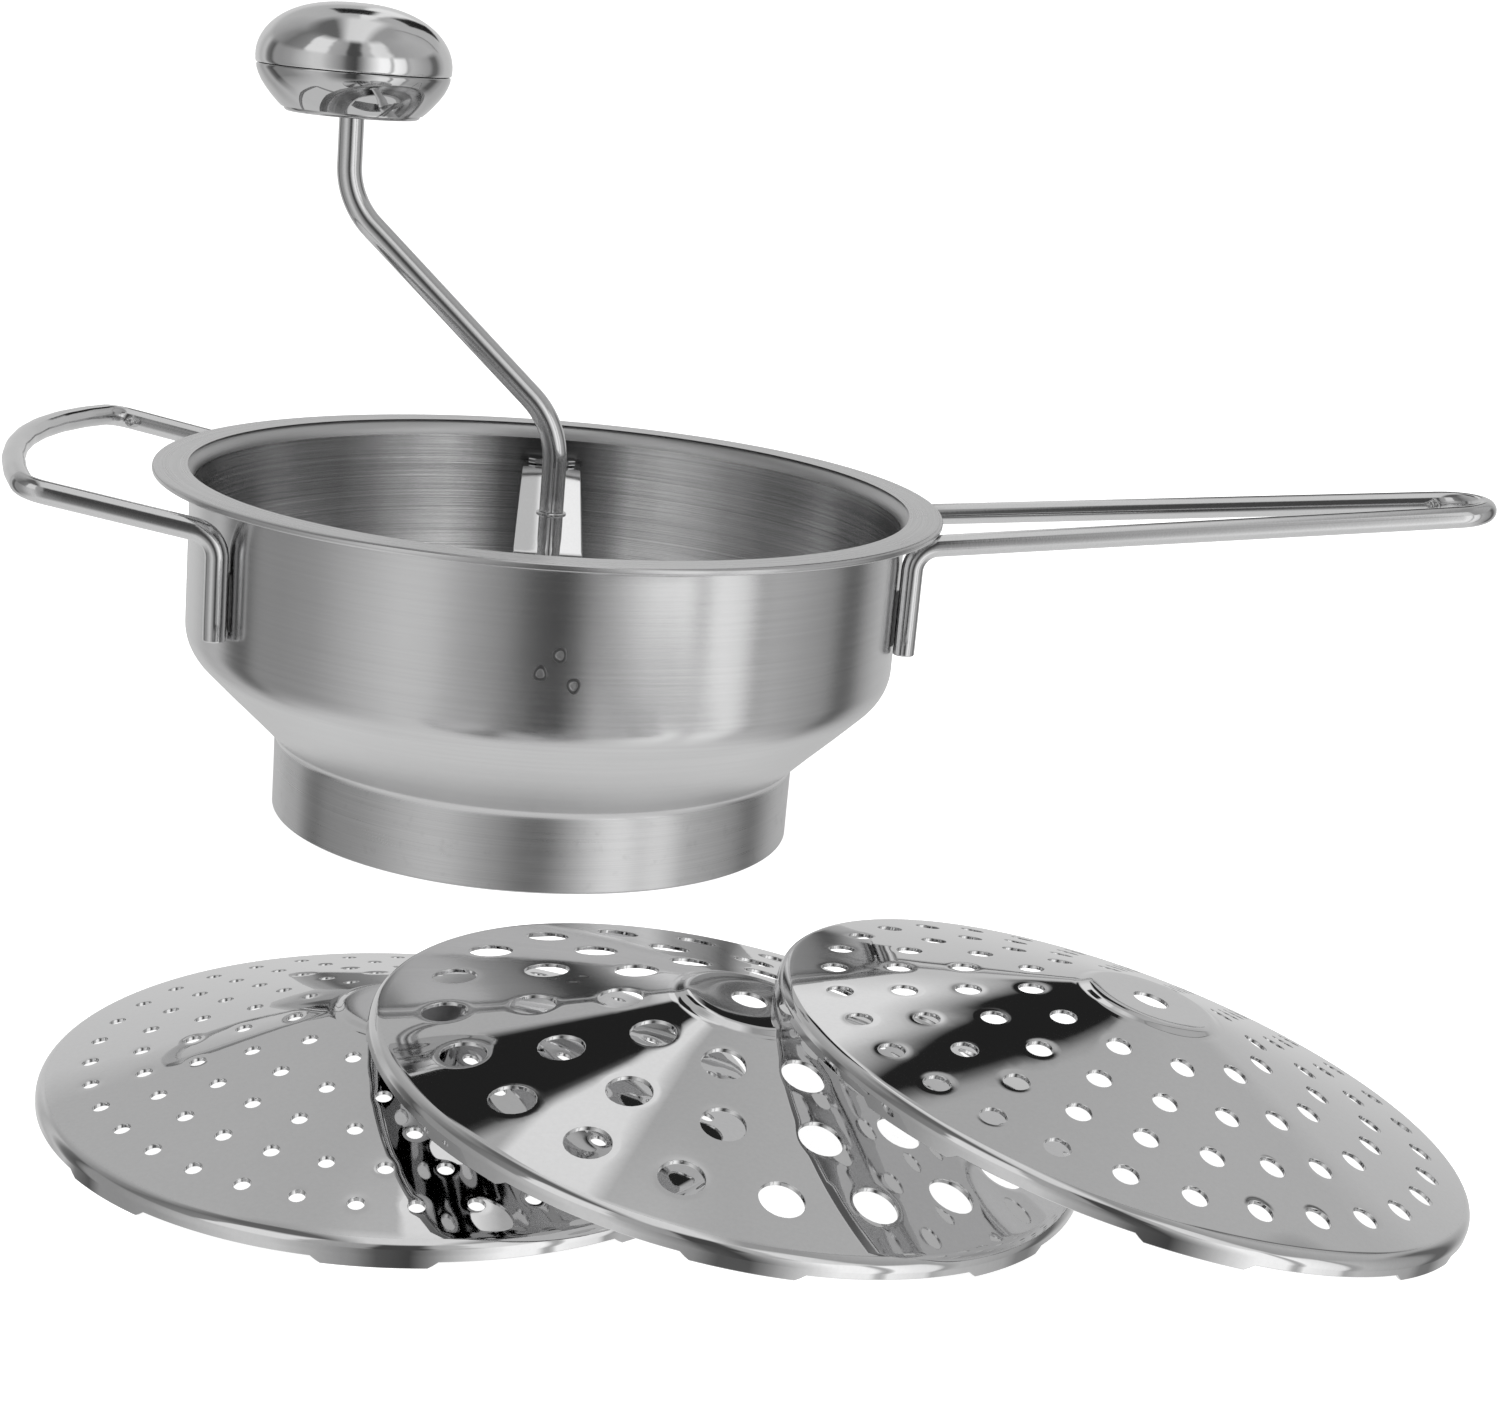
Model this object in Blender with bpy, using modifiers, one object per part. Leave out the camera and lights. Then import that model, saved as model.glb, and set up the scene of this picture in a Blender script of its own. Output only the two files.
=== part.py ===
"""Hand-cranked food mill with three loose discs.

A spun steel bowl with two wire handles holds a spring-loaded bridge bar, which carries the
crank, its shaft and the pressing blade. The three pierced discs lie shingled on the floor in
front of the bowl. Metres, +Z up, standing on z = 0, with the origin in the middle of the
whole set's footprint.
"""
import math

import bmesh
import bpy
import numpy as np
from mathutils import Matrix, Vector

MM = 0.001
GAP = 0.3 * MM                    # air left between neighbouring solids

# Bowl: heights are measured down from the rim's top face
RIM_HEIGHT = 91.3 * MM
RIM_RADIUS = 104.0 * MM
RIM_LIP = 1.7 * MM                # depth of the turned-down lip at the rim's edge
SHEET = 1.0 * MM
WALL_RADIUS = 94.4 * MM
SHOULDER_DROP = 41.5 * MM         # where the wall ends and the shoulder's curve starts
SHOULDER_BEND = 12.0 * MM
NECK_RADIUS = 70.6 * MM
NECK_DROP = 69.8 * MM
COLLAR_RADIUS = 70.0 * MM
BOWL_SEGMENTS = 40

# Wire handles: both leave the bowl just under the rim and climb outwards
HANDLE_WIRE = 2.9 * MM            # wire radius
HANDLE_DROP = 4.9 * MM            # wire centre below the rim's top, at the rim's edge
HANDLE_BEND = 7.0 * MM
LONG_CLIMB = math.radians(6.7)
LONG_ROOT_HALF = 21.2 * MM        # half the spacing of the two wires at the rim
LONG_TIP_HALF = 11.0 * MM
LONG_TIP_CENTRE = 240.8 * MM      # centre of the round end, from the bowl's axis
LONG_LEG_DROP = 35.0 * MM
LOOP_CLIMB = math.radians(10.2)
LOOP_ROOT_HALF = 57.0 * MM
LOOP_TIP_HALF = 57.9 * MM
LOOP_CORNER = 126.2 * MM
LOOP_REACH = 138.0 * MM
LOOP_LEG_DROP = 36.0 * MM

# Bridge bar and the two lugs that hold it down
BAR_TURN = math.radians(1.0)      # the bar runs along Y, turned by this
BAR_WIDTH = 18.6 * MM
BAR_SHEET = 1.5 * MM
BAR_HALF_LENGTH = 90.0 * MM
BAR_FLAT_HALF = 14.0 * MM
BAR_MIDDLE_DROP = 22.3 * MM       # top face at the shaft
BAR_END_DROP = 10.6 * MM          # top face at the two ends
BAR_LEDGE = 8.0 * MM              # level stretch at each end, under the lug
BAR_HOLE = 3.7 * MM
LUG_WIDTH = 14.0 * MM
LUG_SHEET = 1.5 * MM
LUG_PLATE = 24.0 * MM
LUG_TAB = 9.0 * MM

# Crank, shaft and blade
ROD_RADIUS = 3.2 * MM
CRANK_THROW = 57.5 * MM
CRANK_HIGH_CORNER = 68.9 * MM     # above the rim's top
CRANK_LOW_CORNER = 15.2 * MM
CRANK_BEND = 21.0 * MM
JOINT_DROP = 8.6 * MM             # where the crank rod is let into the shaft
SHAFT_END_DROP = 60.0 * MM
PILOT_RADIUS = 3.0 * MM
CLIP_RADIUS = 6.5 * MM
WASHER_RADIUS = 9.0 * MM
WASHER_SHEET = 0.9 * MM
SPRING_WIRE = 0.8 * MM
SPRING_RADIUS = 6.6 * MM
SPRING_TURNS = 4.5
HUB_TOP_DROP = 43.0 * MM
HUB_END_DROP = 55.5 * MM
HUB_RADIUS = 5.6 * MM
BLADE_SHEET = 1.2 * MM
BLADE_REACH = 64.0 * MM
BLADE_CHORD = 30.0 * MM
BLADE_PITCH = math.radians(34)

# Knob: heights are measured up from the rim's top face
KNOB_RADIUS = 24.8 * MM
KNOB_TOP = 118.3 * MM
KNOB_SEAM = 101.7 * MM
KNOB_BASE = 90.4 * MM
KNOB_BASE_RADIUS = 16.2 * MM
KNOB_SHEET = 0.9 * MM
KNOB_SEGMENTS = 24

# Discs: heights are measured up from the feet of the skirt
DISC_RADIUS = 71.5 * MM
DISC_SHEET = 0.8 * MM
DISC_SKIRT = 5.0 * MM             # height of the rounded edge's top
DISC_EDGE = 2.6 * MM              # radius of the rounded edge
DISC_SLOPE = math.radians(15)
DISC_HUB_RADIUS = 16.0 * MM
DISC_HUB_RISE = 1.3 * MM
DISC_BORE = 3.6 * MM
DISC_TABS = 8
DISC_TAB_HEIGHT = 1.2 * MM
DISC_TAB_GAP = 36.0 * MM
DISC_SEGMENTS = 30
# name: first ring radius, ring spacing, holes in each ring, hole radius, sides of a hole
DISC_HOLES = {
    "fine_disc": (22.4 * MM, 9.75 * MM, (12, 18, 24, 30, 36), 1.55 * MM, 4),
    "coarse_disc": (25.0 * MM, 16.4 * MM, (10, 14, 20), 4.3 * MM, 7),
    "medium_disc": (24.4 * MM, 12.3 * MM, (12, 18, 24, 30), 2.5 * MM, 5),
}
# Where the discs' centres lie, from the bowl's axis, lowest disc first
DISC_PLACES = {
    "fine_disc": (-19.5 * MM, -199.5 * MM),
    "coarse_disc": (43.0 * MM, -210.5 * MM),
    "medium_disc": (120.0 * MM, -209.5 * MM),
}

# The bowl's axis, placed so that the whole set's footprint is centred on the origin
FRONT_REACH = -DISC_PLACES["coarse_disc"][1] + DISC_RADIUS
LONG_REACH = LONG_TIP_CENTRE + LONG_TIP_HALF + HANDLE_WIRE
MILL_X = (LOOP_REACH + HANDLE_WIRE - LONG_REACH) / 2
MILL_Y = (FRONT_REACH - RIM_RADIUS) / 2
MILL = Vector((MILL_X, MILL_Y, RIM_HEIGHT))


def start_collections():
    for obj in list(bpy.data.objects):
        bpy.data.objects.remove(obj)
    made = []
    for name in ("food_mill", "cutters"):
        collection = bpy.data.collections.new(name)
        bpy.context.scene.collection.children.link(collection)
        made.append(collection)
    return made


PARTS, CUTTERS = start_collections()


def steel(name, shade, roughness):
    material = bpy.data.materials.new(name)
    material.use_nodes = True
    shader = material.node_tree.nodes["Principled BSDF"]
    shader.inputs["Base Color"].default_value = (shade, shade, shade, 1)
    shader.inputs["Metallic"].default_value = 1.0
    shader.inputs["Roughness"].default_value = roughness
    return material


BRUSHED = steel("brushed_bowl_steel", 0.62, 0.34)
POLISHED = steel("polished_wire_steel", 0.68, 0.16)
BLADE_STEEL = steel("blade_steel", 0.6, 0.28)
CHROME = steel("knob_chrome", 0.75, 0.06)
MIRROR = steel("mirror_disc_steel", 0.7, 0.08)
SPRING_STEEL = steel("spring_steel", 0.5, 0.3)


def empty(name, location):
    obj = bpy.data.objects.new(name, None)
    obj.location = location
    PARTS.objects.link(obj)
    return obj


def place(name, data, material, location=(0, 0, 0), parent=None, collection=PARTS):
    obj = bpy.data.objects.new(name, data)
    obj.location = location
    obj.parent = parent
    if material:
        data.materials.append(material)
    collection.objects.link(obj)
    return obj


def cutter(name, data, parent):
    obj = place(name, data, None, parent=parent, collection=CUTTERS)
    obj.hide_render = True
    obj.display_type = "WIRE"
    return obj


def cut(obj, tool):
    modifier = obj.modifiers.new("cut", "BOOLEAN")
    modifier.object = tool
    modifier.solver = "EXACT"


def turned(name, profile, material, segments, closed=True, **where):
    """A turned solid: (radius, height) points that run down the outer side, top to bottom."""
    mesh = bpy.data.meshes.new(name)
    count = len(profile)
    edges = [(i, i + 1) for i in range(count - 1)]
    if closed:
        edges.append((count - 1, 0))
    mesh.from_pydata([(r, 0, z) for r, z in profile], edges, [])
    obj = place(name, mesh, material, **where)
    screw = obj.modifiers.new("turn", "SCREW")
    screw.steps = screw.render_steps = segments
    screw.use_merge_vertices = True
    screw.merge_threshold = 0.00001
    screw.use_smooth_shade = True
    return obj


def ring(name, bore, radius, top, bottom, material, segments=16, **where):
    profile = [(bore, top), (radius, top), (radius, bottom), (bore, bottom)]
    return turned(name, profile, material, segments, **where)


def arc(centre, radius, start, end, steps):
    """Points of an arc in a profile plane, with angles in degrees from +radius towards +height."""
    points = []
    for i in range(steps + 1):
        angle = math.radians(start + (end - start) * i / steps)
        points.append((centre[0] + radius * math.cos(angle), centre[1] + radius * math.sin(angle)))
    return points


def rounded(corners, bend, steps=5):
    """The path through these corners, with each inner corner turned at this bend radius."""
    corners = [Vector(c) for c in corners]
    path = [corners[0]]
    for before, corner, after in zip(corners, corners[1:], corners[2:]):
        a = (before - corner).normalized()
        b = (after - corner).normalized()
        half = a.angle(b) / 2
        reach = bend / math.tan(half)
        centre = corner + (a + b).normalized() * bend / math.sin(half)
        first = corner + a * reach - centre
        last = corner + b * reach - centre
        for i in range(steps + 1):
            path.append(centre + first.slerp(last, i / steps).normalized() * bend)
    path.append(corners[-1])
    return path


def wire(name, path, radius, material, resolution=2, **where):
    """A round wire along a path, with filled ends."""
    curve = bpy.data.curves.new(name, "CURVE")
    curve.dimensions = "3D"
    curve.bevel_depth = radius
    curve.bevel_resolution = resolution
    curve.use_fill_caps = True
    spline = curve.splines.new("POLY")
    spline.points.add(len(path) - 1)
    for point, co in zip(spline.points, path):
        point.co = (*co, 1)
    return place(name, curve, material, **where)


def bent_strip(name, outline, width, material, **where):
    """A folded strip of sheet: a closed outline in the XZ plane, made solid along Y."""
    curve = bpy.data.curves.new(name, "CURVE")
    curve.dimensions = "2D"
    curve.fill_mode = "BOTH"
    curve.extrude = width / 2
    spline = curve.splines.new("POLY")
    spline.points.add(len(outline) - 1)
    for point, (x, z) in zip(spline.points, outline):
        point.co = (x, z, 0, 1)
    spline.use_cyclic_u = True
    flat = place(name + "_outline", curve, None, collection=CUTTERS)
    mesh = as_mesh(flat)
    bpy.data.objects.remove(flat)
    mesh.name = name
    mesh.transform(Matrix.Rotation(math.radians(90), 4, "X"))
    return place(name, mesh, material, **where)


def as_mesh(curve_object):
    """The curve object's surface as a closed mesh."""
    bpy.context.view_layer.update()
    graph = bpy.context.evaluated_depsgraph_get()
    mesh = bpy.data.meshes.new_from_object(curve_object.evaluated_get(graph))
    work = bmesh.new()
    work.from_mesh(mesh)
    bmesh.ops.remove_doubles(work, verts=work.verts, dist=0.000001)
    bmesh.ops.recalc_face_normals(work, faces=work.faces)
    work.to_mesh(mesh)
    work.free()
    return mesh


def cylinders(name, spots, radius, depth, sides):
    """One mesh of equal upright cylinders centred on these spots."""
    work = bmesh.new()
    for spot in spots:
        bmesh.ops.create_cone(work, cap_ends=True, segments=sides, radius1=radius,
                              radius2=radius, depth=depth, matrix=Matrix.Translation(spot))
    mesh = bpy.data.meshes.new(name)
    work.to_mesh(mesh)
    work.free()
    return mesh


def on_bowl(azimuth, radius, drop):
    return Vector((radius * math.cos(azimuth), radius * math.sin(azimuth), -drop))


# ---------------------------------------------------------------- bowl

def bowl_shell(parent):
    """Flange, wall, shoulder, cone and collar, drawn out of one sheet."""
    fold = 3.0 * MM
    turn = 45.0
    inner = SHEET
    shoulder = (WALL_RADIUS - SHOULDER_BEND, -SHOULDER_DROP)
    outer = [(RIM_RADIUS - 0.5 * MM, 0), (RIM_RADIUS, -0.5 * MM), (RIM_RADIUS, -RIM_LIP),
             (RIM_RADIUS - inner, -RIM_LIP), (RIM_RADIUS - inner, -inner)]
    outer += arc((WALL_RADIUS + fold, -inner - fold), fold, 90, 180, 3)
    outer += arc(shoulder, SHOULDER_BEND, 0, -turn, 4)
    outer += [(NECK_RADIUS, -NECK_DROP), (COLLAR_RADIUS, -NECK_DROP - 1.5 * MM),
              (COLLAR_RADIUS, -RIM_HEIGHT)]
    hollow = [(COLLAR_RADIUS - inner, -RIM_HEIGHT),
              (COLLAR_RADIUS - inner, -NECK_DROP - 1.0 * MM),
              (NECK_RADIUS - 0.8 * MM, -NECK_DROP + 0.5 * MM)]
    hollow += arc(shoulder, SHOULDER_BEND - inner, -turn, 0, 4)
    hollow += arc((WALL_RADIUS + fold, -inner - fold), fold + inner, 180, 90, 3)
    return turned("bowl_shell", outer + hollow, BRUSHED, BOWL_SEGMENTS, parent=parent)


def handle_point(climb, reach, side):
    """A point on a handle's sloping plane, for a handle that leaves along +X."""
    rise = (reach - RIM_RADIUS) * math.tan(climb)
    return Vector((reach, side, -HANDLE_DROP + rise))


def leg_radius():
    return WALL_RADIUS + GAP + HANDLE_WIRE


def leg_reach(half):
    return math.sqrt(leg_radius() ** 2 - half ** 2)


def long_handle(parent):
    """A long narrow loop of wire: both ends run down the wall as legs."""
    taper = (LONG_TIP_HALF - LONG_ROOT_HALF) / (LONG_TIP_CENTRE - RIM_RADIUS)
    leg_half = LONG_ROOT_HALF + taper * (leg_reach(LONG_ROOT_HALF) - RIM_RADIUS)
    reach = leg_reach(leg_half)
    tip_turn = math.atan(-taper)
    side = [handle_point(LONG_CLIMB, reach, leg_half)]
    side.insert(0, Vector((reach, leg_half, -LONG_LEG_DROP)))
    side.append(handle_point(LONG_CLIMB, LONG_TIP_CENTRE, LONG_TIP_HALF))
    half = rounded(side, HANDLE_BEND)[:-1]
    round_end = []
    steps = 9
    for i in range(steps + 1):
        angle = math.radians(90) - tip_turn - (math.pi - 2 * tip_turn) * i / steps
        round_end.append(handle_point(LONG_CLIMB, LONG_TIP_CENTRE + LONG_TIP_HALF * math.cos(angle),
                                      LONG_TIP_HALF * math.sin(angle)))
    other = [Vector((p.x, -p.y, p.z)) for p in reversed(half)]
    wire("long_handle_wire", half + round_end + other, HANDLE_WIRE, POLISHED, parent=parent)
    bead_reach = LONG_TIP_CENTRE - 0.5 * MM
    bead_half = LONG_ROOT_HALF + taper * (bead_reach - RIM_RADIUS)
    handle_bead("long", parent, 1, handle_point(LONG_CLIMB, bead_reach, bead_half))
    leg_welds("long", parent, 1, reach, leg_half, LONG_LEG_DROP)


def loop_handle(parent):
    """A short wide loop of wire on the other side, with a bowed grip."""
    spread = (LOOP_TIP_HALF - LOOP_ROOT_HALF) / (LOOP_CORNER - RIM_RADIUS)
    leg_half = LOOP_ROOT_HALF + spread * (leg_reach(LOOP_ROOT_HALF) - RIM_RADIUS)
    reach = leg_reach(leg_half)
    corners = [Vector((reach, leg_half, -LOOP_LEG_DROP)),
               handle_point(LOOP_CLIMB, reach, leg_half),
               handle_point(LOOP_CLIMB, LOOP_CORNER, LOOP_TIP_HALF)]
    bow = 4
    for i in range(1, bow):
        across = 1 - 2 * i / bow
        out = LOOP_CORNER + (LOOP_REACH - LOOP_CORNER) * (1 - across ** 2)
        corners.append(handle_point(LOOP_CLIMB, out, LOOP_TIP_HALF * across))
    mirrored = [Vector((p.x, -p.y, p.z)) for p in reversed(corners[:3])]
    path = [Vector((-p.x, -p.y, p.z)) for p in rounded(corners + mirrored, HANDLE_BEND, 4)]
    wire("loop_handle_wire", path, HANDLE_WIRE, POLISHED, parent=parent)
    bead_reach = LOOP_CORNER - HANDLE_BEND + 0.5 * MM
    bead_half = LOOP_ROOT_HALF + spread * (bead_reach - RIM_RADIUS)
    handle_bead("loop", parent, -1, handle_point(LOOP_CLIMB, bead_reach, bead_half))
    leg_welds("loop", parent, -1, reach, leg_half, LOOP_LEG_DROP)


def handle_bead(name, parent, way, spot):
    """The bead of weld on the inner side of the wire, where its two ends meet."""
    bead = 1.5 * MM
    work = bmesh.new()
    bmesh.ops.create_icosphere(work, subdivisions=1, radius=bead)
    mesh = bpy.data.meshes.new(name + "_handle_joint_bead")
    work.to_mesh(mesh)
    work.free()
    inside = spot.y - HANDLE_WIRE - bead - 2 * GAP
    place(name + "_handle_joint_bead", mesh, POLISHED, (way * spot.x, inside, spot.z), parent)


def leg_welds(name, parent, way, reach, half, drop):
    """A strip of weld beside the foot of each leg."""
    length, depth, width = 14 * MM, 1.0 * MM, 1.6 * MM
    beside = HANDLE_WIRE + width / 2 + GAP
    for end, side in (("rear", 1), ("front", -1)):
        turn = Matrix.Rotation(math.atan2(side * half, way * reach), 4, "Z")
        spot = turn @ Vector((WALL_RADIUS + GAP + depth / 2, side * way * beside, 0))
        spot.z = -drop + length / 2 + 2 * MM
        shape = Matrix.Diagonal((depth, width, length, 1))
        work = bmesh.new()
        bmesh.ops.create_cube(work, size=1, matrix=Matrix.Translation(spot) @ turn @ shape)
        node = f"{name}_handle_{end}_weld"
        mesh = bpy.data.meshes.new(node)
        work.to_mesh(mesh)
        work.free()
        place(node, mesh, POLISHED, parent=parent)


def lug(name, parent, azimuth):
    """An L of sheet welded inside the wall: its tab reaches in over the bar's end."""
    back = WALL_RADIUS - SHEET - 0.8 * MM
    top = -BAR_END_DROP + GAP + LUG_SHEET
    outline = [(back, top), (back, top - LUG_PLATE), (back - LUG_SHEET, top - LUG_PLATE),
               (back - LUG_SHEET, top - LUG_SHEET), (back - LUG_TAB, top - LUG_SHEET),
               (back - LUG_TAB, top)]
    obj = bent_strip(name, outline, LUG_WIDTH, POLISHED, parent=parent)
    obj.rotation_euler.z = azimuth


# ---------------------------------------------------------------- bridge bar

def bridge_bar(parent):
    """A sprung strip across the bowl: level in the middle and at both ends, sloping between."""
    top = [(-BAR_HALF_LENGTH, -BAR_END_DROP), (-BAR_HALF_LENGTH + BAR_LEDGE, -BAR_END_DROP),
           (-BAR_FLAT_HALF, -BAR_MIDDLE_DROP), (BAR_FLAT_HALF, -BAR_MIDDLE_DROP),
           (BAR_HALF_LENGTH - BAR_LEDGE, -BAR_END_DROP), (BAR_HALF_LENGTH, -BAR_END_DROP)]
    under = [(x, z - BAR_SHEET) for x, z in reversed(top)]
    bar = bent_strip("bridge_bar", top + under, BAR_WIDTH, POLISHED, parent=parent)
    bar.rotation_euler.z = math.radians(90) + BAR_TURN
    spot = (0, 0, -BAR_MIDDLE_DROP)
    cut(bar, cutter("bar_hole", cylinders("bar_hole", [spot], BAR_HOLE, 10 * MM, 16), parent))


def pressure_spring(parent):
    """Coils round the shaft between the two washers."""
    top = BAR_MIDDLE_DROP + BAR_SHEET + 2 * GAP + WASHER_SHEET + SPRING_WIRE
    bottom = HUB_TOP_DROP - 2 * GAP - WASHER_SHEET - SPRING_WIRE
    per_turn = 10
    count = int(SPRING_TURNS * per_turn)
    path = []
    for i in range(count + 1):
        angle = 2 * math.pi * i / per_turn
        path.append(on_bowl(angle, SPRING_RADIUS, top + (bottom - top) * i / count))
    wire("pressure_spring", path, SPRING_WIRE, SPRING_STEEL, resolution=1, parent=parent)


# ---------------------------------------------------------------- crank, shaft and blade

def crank_rod(parent):
    """The bent rod: grip pin at the top, then the sloping arm, then down into the shaft."""
    corners = [(-CRANK_THROW, 0, KNOB_TOP - 6.5 * MM), (-CRANK_THROW, 0, CRANK_HIGH_CORNER),
               (0, 0, CRANK_LOW_CORNER), (0, 0, -JOINT_DROP + GAP)]
    wire("crank_rod", rounded(corners, CRANK_BEND, 6), ROD_RADIUS, POLISHED, resolution=3,
         parent=parent)


def crank_shaft(parent):
    """The lower shaft: a shoulder under the joint, a taper and a pilot for the disc's bore."""
    profile = [(0, -JOINT_DROP), (ROD_RADIUS, -JOINT_DROP), (ROD_RADIUS, -16 * MM),
               (PILOT_RADIUS, -20 * MM), (PILOT_RADIUS, -SHAFT_END_DROP + 2 * MM),
               (PILOT_RADIUS - 1.5 * MM, -SHAFT_END_DROP), (0, -SHAFT_END_DROP)]
    turned("crank_shaft", profile, POLISHED, 16, closed=False, parent=parent)


def blade_height(radius):
    """The blade's low edge, just over a disc that sits in the neck."""
    seat = NECK_DROP - 0.3 * MM
    flat = max(radius, DISC_HUB_RADIUS)
    disc_top = DISC_SKIRT + (DISC_RADIUS - DISC_EDGE - flat) * math.tan(DISC_SLOPE)
    return -seat + disc_top + 1.0 * MM


def blade(parent):
    """A plate twisted like a propeller: each wing's leading edge rides low over the disc."""
    along, across = 20, 4
    reach = BLADE_CHORD / 2 * math.cos(BLADE_PITCH)
    climb = BLADE_CHORD * math.sin(BLADE_PITCH)
    work = bmesh.new()
    rows = []
    for i in range(along + 1):
        s = -1 + 2 * i / along
        x = s * BLADE_REACH
        twist = min(1.0, abs(x) / (26 * MM))
        twist = twist * twist * (3 - 2 * twist)
        narrow = math.sqrt(max(0.0, 1 - (abs(s) ** 6) * 0.6))
        row = []
        for j in range(across + 1):
            c = -1 + 2 * j / across
            lift = climb * (1 + (1 if s > 0 else -1) * c) / 2 * twist
            row.append(work.verts.new((x, c * reach * narrow, blade_height(abs(x)) + lift)))
        rows.append(row)
    for low, high in zip(rows, rows[1:]):
        for j in range(across):
            work.faces.new((low[j], high[j], high[j + 1], low[j + 1]))
    mesh = bpy.data.meshes.new("blade")
    work.to_mesh(mesh)
    work.free()
    obj = place("blade", mesh, BLADE_STEEL, parent=parent)
    obj.rotation_euler.z = math.radians(35)
    thick = obj.modifiers.new("thickness", "SOLIDIFY")
    thick.thickness = BLADE_SHEET
    thick.offset = 1.0
    spot = (0, 0, blade_height(0))
    hole = HUB_RADIUS + GAP
    cut(obj, cutter("blade_hole", cylinders("blade_hole", [spot], hole, 14 * MM, 16), parent))


def crank_set(parent):
    bar_top = BAR_MIDDLE_DROP
    crank_rod(parent)
    crank_shaft(parent)
    ring("shaft_joint_ring", ROD_RADIUS + GAP, ROD_RADIUS + GAP + 0.5 * MM,
         -JOINT_DROP + 0.5 * MM, -JOINT_DROP - 0.5 * MM, POLISHED, parent=parent)
    clip = (-bar_top + GAP + 0.8 * MM, -bar_top + GAP)
    ring("shaft_clip", PILOT_RADIUS + 0.2 * MM, CLIP_RADIUS, *clip, SPRING_STEEL, parent=parent)
    hub_top = -HUB_TOP_DROP
    bore = PILOT_RADIUS + GAP
    ring("lower_spring_washer", bore, WASHER_RADIUS, hub_top + GAP + WASHER_SHEET,
         hub_top + GAP, SPRING_STEEL, parent=parent)
    ring("blade_hub", bore, HUB_RADIUS, hub_top, -HUB_END_DROP, BLADE_STEEL, parent=parent)
    blade(parent)


def bar_set(parent):
    bridge_bar(parent)
    top = -BAR_MIDDLE_DROP - BAR_SHEET - GAP
    ring("upper_spring_washer", PILOT_RADIUS + GAP, WASHER_RADIUS, top, top - WASHER_SHEET,
         SPRING_STEEL, parent=parent)
    pressure_spring(parent)


# ---------------------------------------------------------------- knob

def knob_set(parent, crank):
    """Two pressed shells on a bush that turns on the grip pin, under a push-on retainer."""
    dome = KNOB_TOP - KNOB_SEAM
    bulge = 2.0 * MM
    steps = 7
    outer = []
    for i in range(steps + 1):
        angle = math.radians(90 * (1 - i / steps))
        outer.append((KNOB_RADIUS * math.cos(angle) ** 0.85,
                      KNOB_SEAM + bulge + (dome - bulge) * math.sin(angle)))
    outer[0] = (0, KNOB_TOP)
    outer.append((KNOB_RADIUS - 0.4 * MM, KNOB_SEAM + GAP))
    inner = [(max(0, r - KNOB_SHEET), z - KNOB_SHEET * max(0, (z - KNOB_SEAM) / dome))
             for r, z in outer]
    turned("knob_upper_shell", outer + inner[::-1], CHROME, KNOB_SEGMENTS, closed=False,
           parent=parent)
    low = [(KNOB_RADIUS - 0.4 * MM, KNOB_SEAM), (KNOB_RADIUS - 2.6 * MM, KNOB_SEAM - 5 * MM),
           (KNOB_BASE_RADIUS + 1.4 * MM, KNOB_BASE + 1.6 * MM), (KNOB_BASE_RADIUS, KNOB_BASE)]
    bush = ROD_RADIUS + 2.2 * MM
    mouth = bush + GAP
    base = [(mouth, KNOB_BASE), (mouth, KNOB_BASE + KNOB_SHEET)]
    hollow = [(KNOB_BASE_RADIUS - 0.6 * MM, KNOB_BASE + KNOB_SHEET)]
    hollow += [(r - KNOB_SHEET, z) for r, z in (low[2], low[1], low[0])]
    turned("knob_lower_shell", low + base + hollow, CHROME, KNOB_SEGMENTS, parent=parent)
    pin_top = KNOB_TOP - 6.5 * MM
    ring("knob_bush", ROD_RADIUS + GAP, bush, pin_top - 2.6 * MM, KNOB_BASE + 0.2 * MM,
         SPRING_STEEL, parent=parent)
    ring("knob_retainer", ROD_RADIUS + 0.2 * MM, ROD_RADIUS + 2.4 * MM, pin_top - 0.4 * MM,
         pin_top - 2.2 * MM, SPRING_STEEL, location=(-CRANK_THROW, 0, 0), parent=crank)


# ---------------------------------------------------------------- discs

def disc_top():
    """The disc's upper outline from its bore to its foot, as (radius, height) points."""
    edge = (DISC_RADIUS - DISC_EDGE, DISC_SKIRT - DISC_EDGE)
    slope_top = DISC_SKIRT + (edge[0] - DISC_HUB_RADIUS) * math.tan(DISC_SLOPE)
    plateau = slope_top + DISC_HUB_RISE
    points = [(DISC_BORE, plateau), (DISC_HUB_RADIUS - 3.0 * MM, plateau),
              (DISC_HUB_RADIUS, slope_top)]
    points += arc(edge, DISC_EDGE, 90 - math.degrees(DISC_SLOPE), 0, 3)
    return points + [(DISC_RADIUS, 0)]


DISC_TOP = disc_top()


def top_height(radius):
    return np.interp(radius, [p[0] for p in DISC_TOP[:-1]], [p[1] for p in DISC_TOP[:-1]])


def disc_samples(upper):
    """Points over a disc's top (upper) or its underside and feet, in its own frame."""
    radii = np.linspace(DISC_BORE, DISC_RADIUS - DISC_SHEET, 60)
    heights = top_height(radii)
    if not upper:
        radii = np.append(radii, (DISC_RADIUS - DISC_SHEET, DISC_RADIUS))
        heights = np.append(heights - DISC_SHEET, (0, 0))
    angles = np.linspace(0, 2 * np.pi, 180, endpoint=False)[:, None]
    x = radii * np.cos(angles)
    y = radii * np.sin(angles)
    z = heights + 0 * angles
    return np.stack([x.ravel(), y.ravel(), z.ravel()], axis=1)


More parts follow.
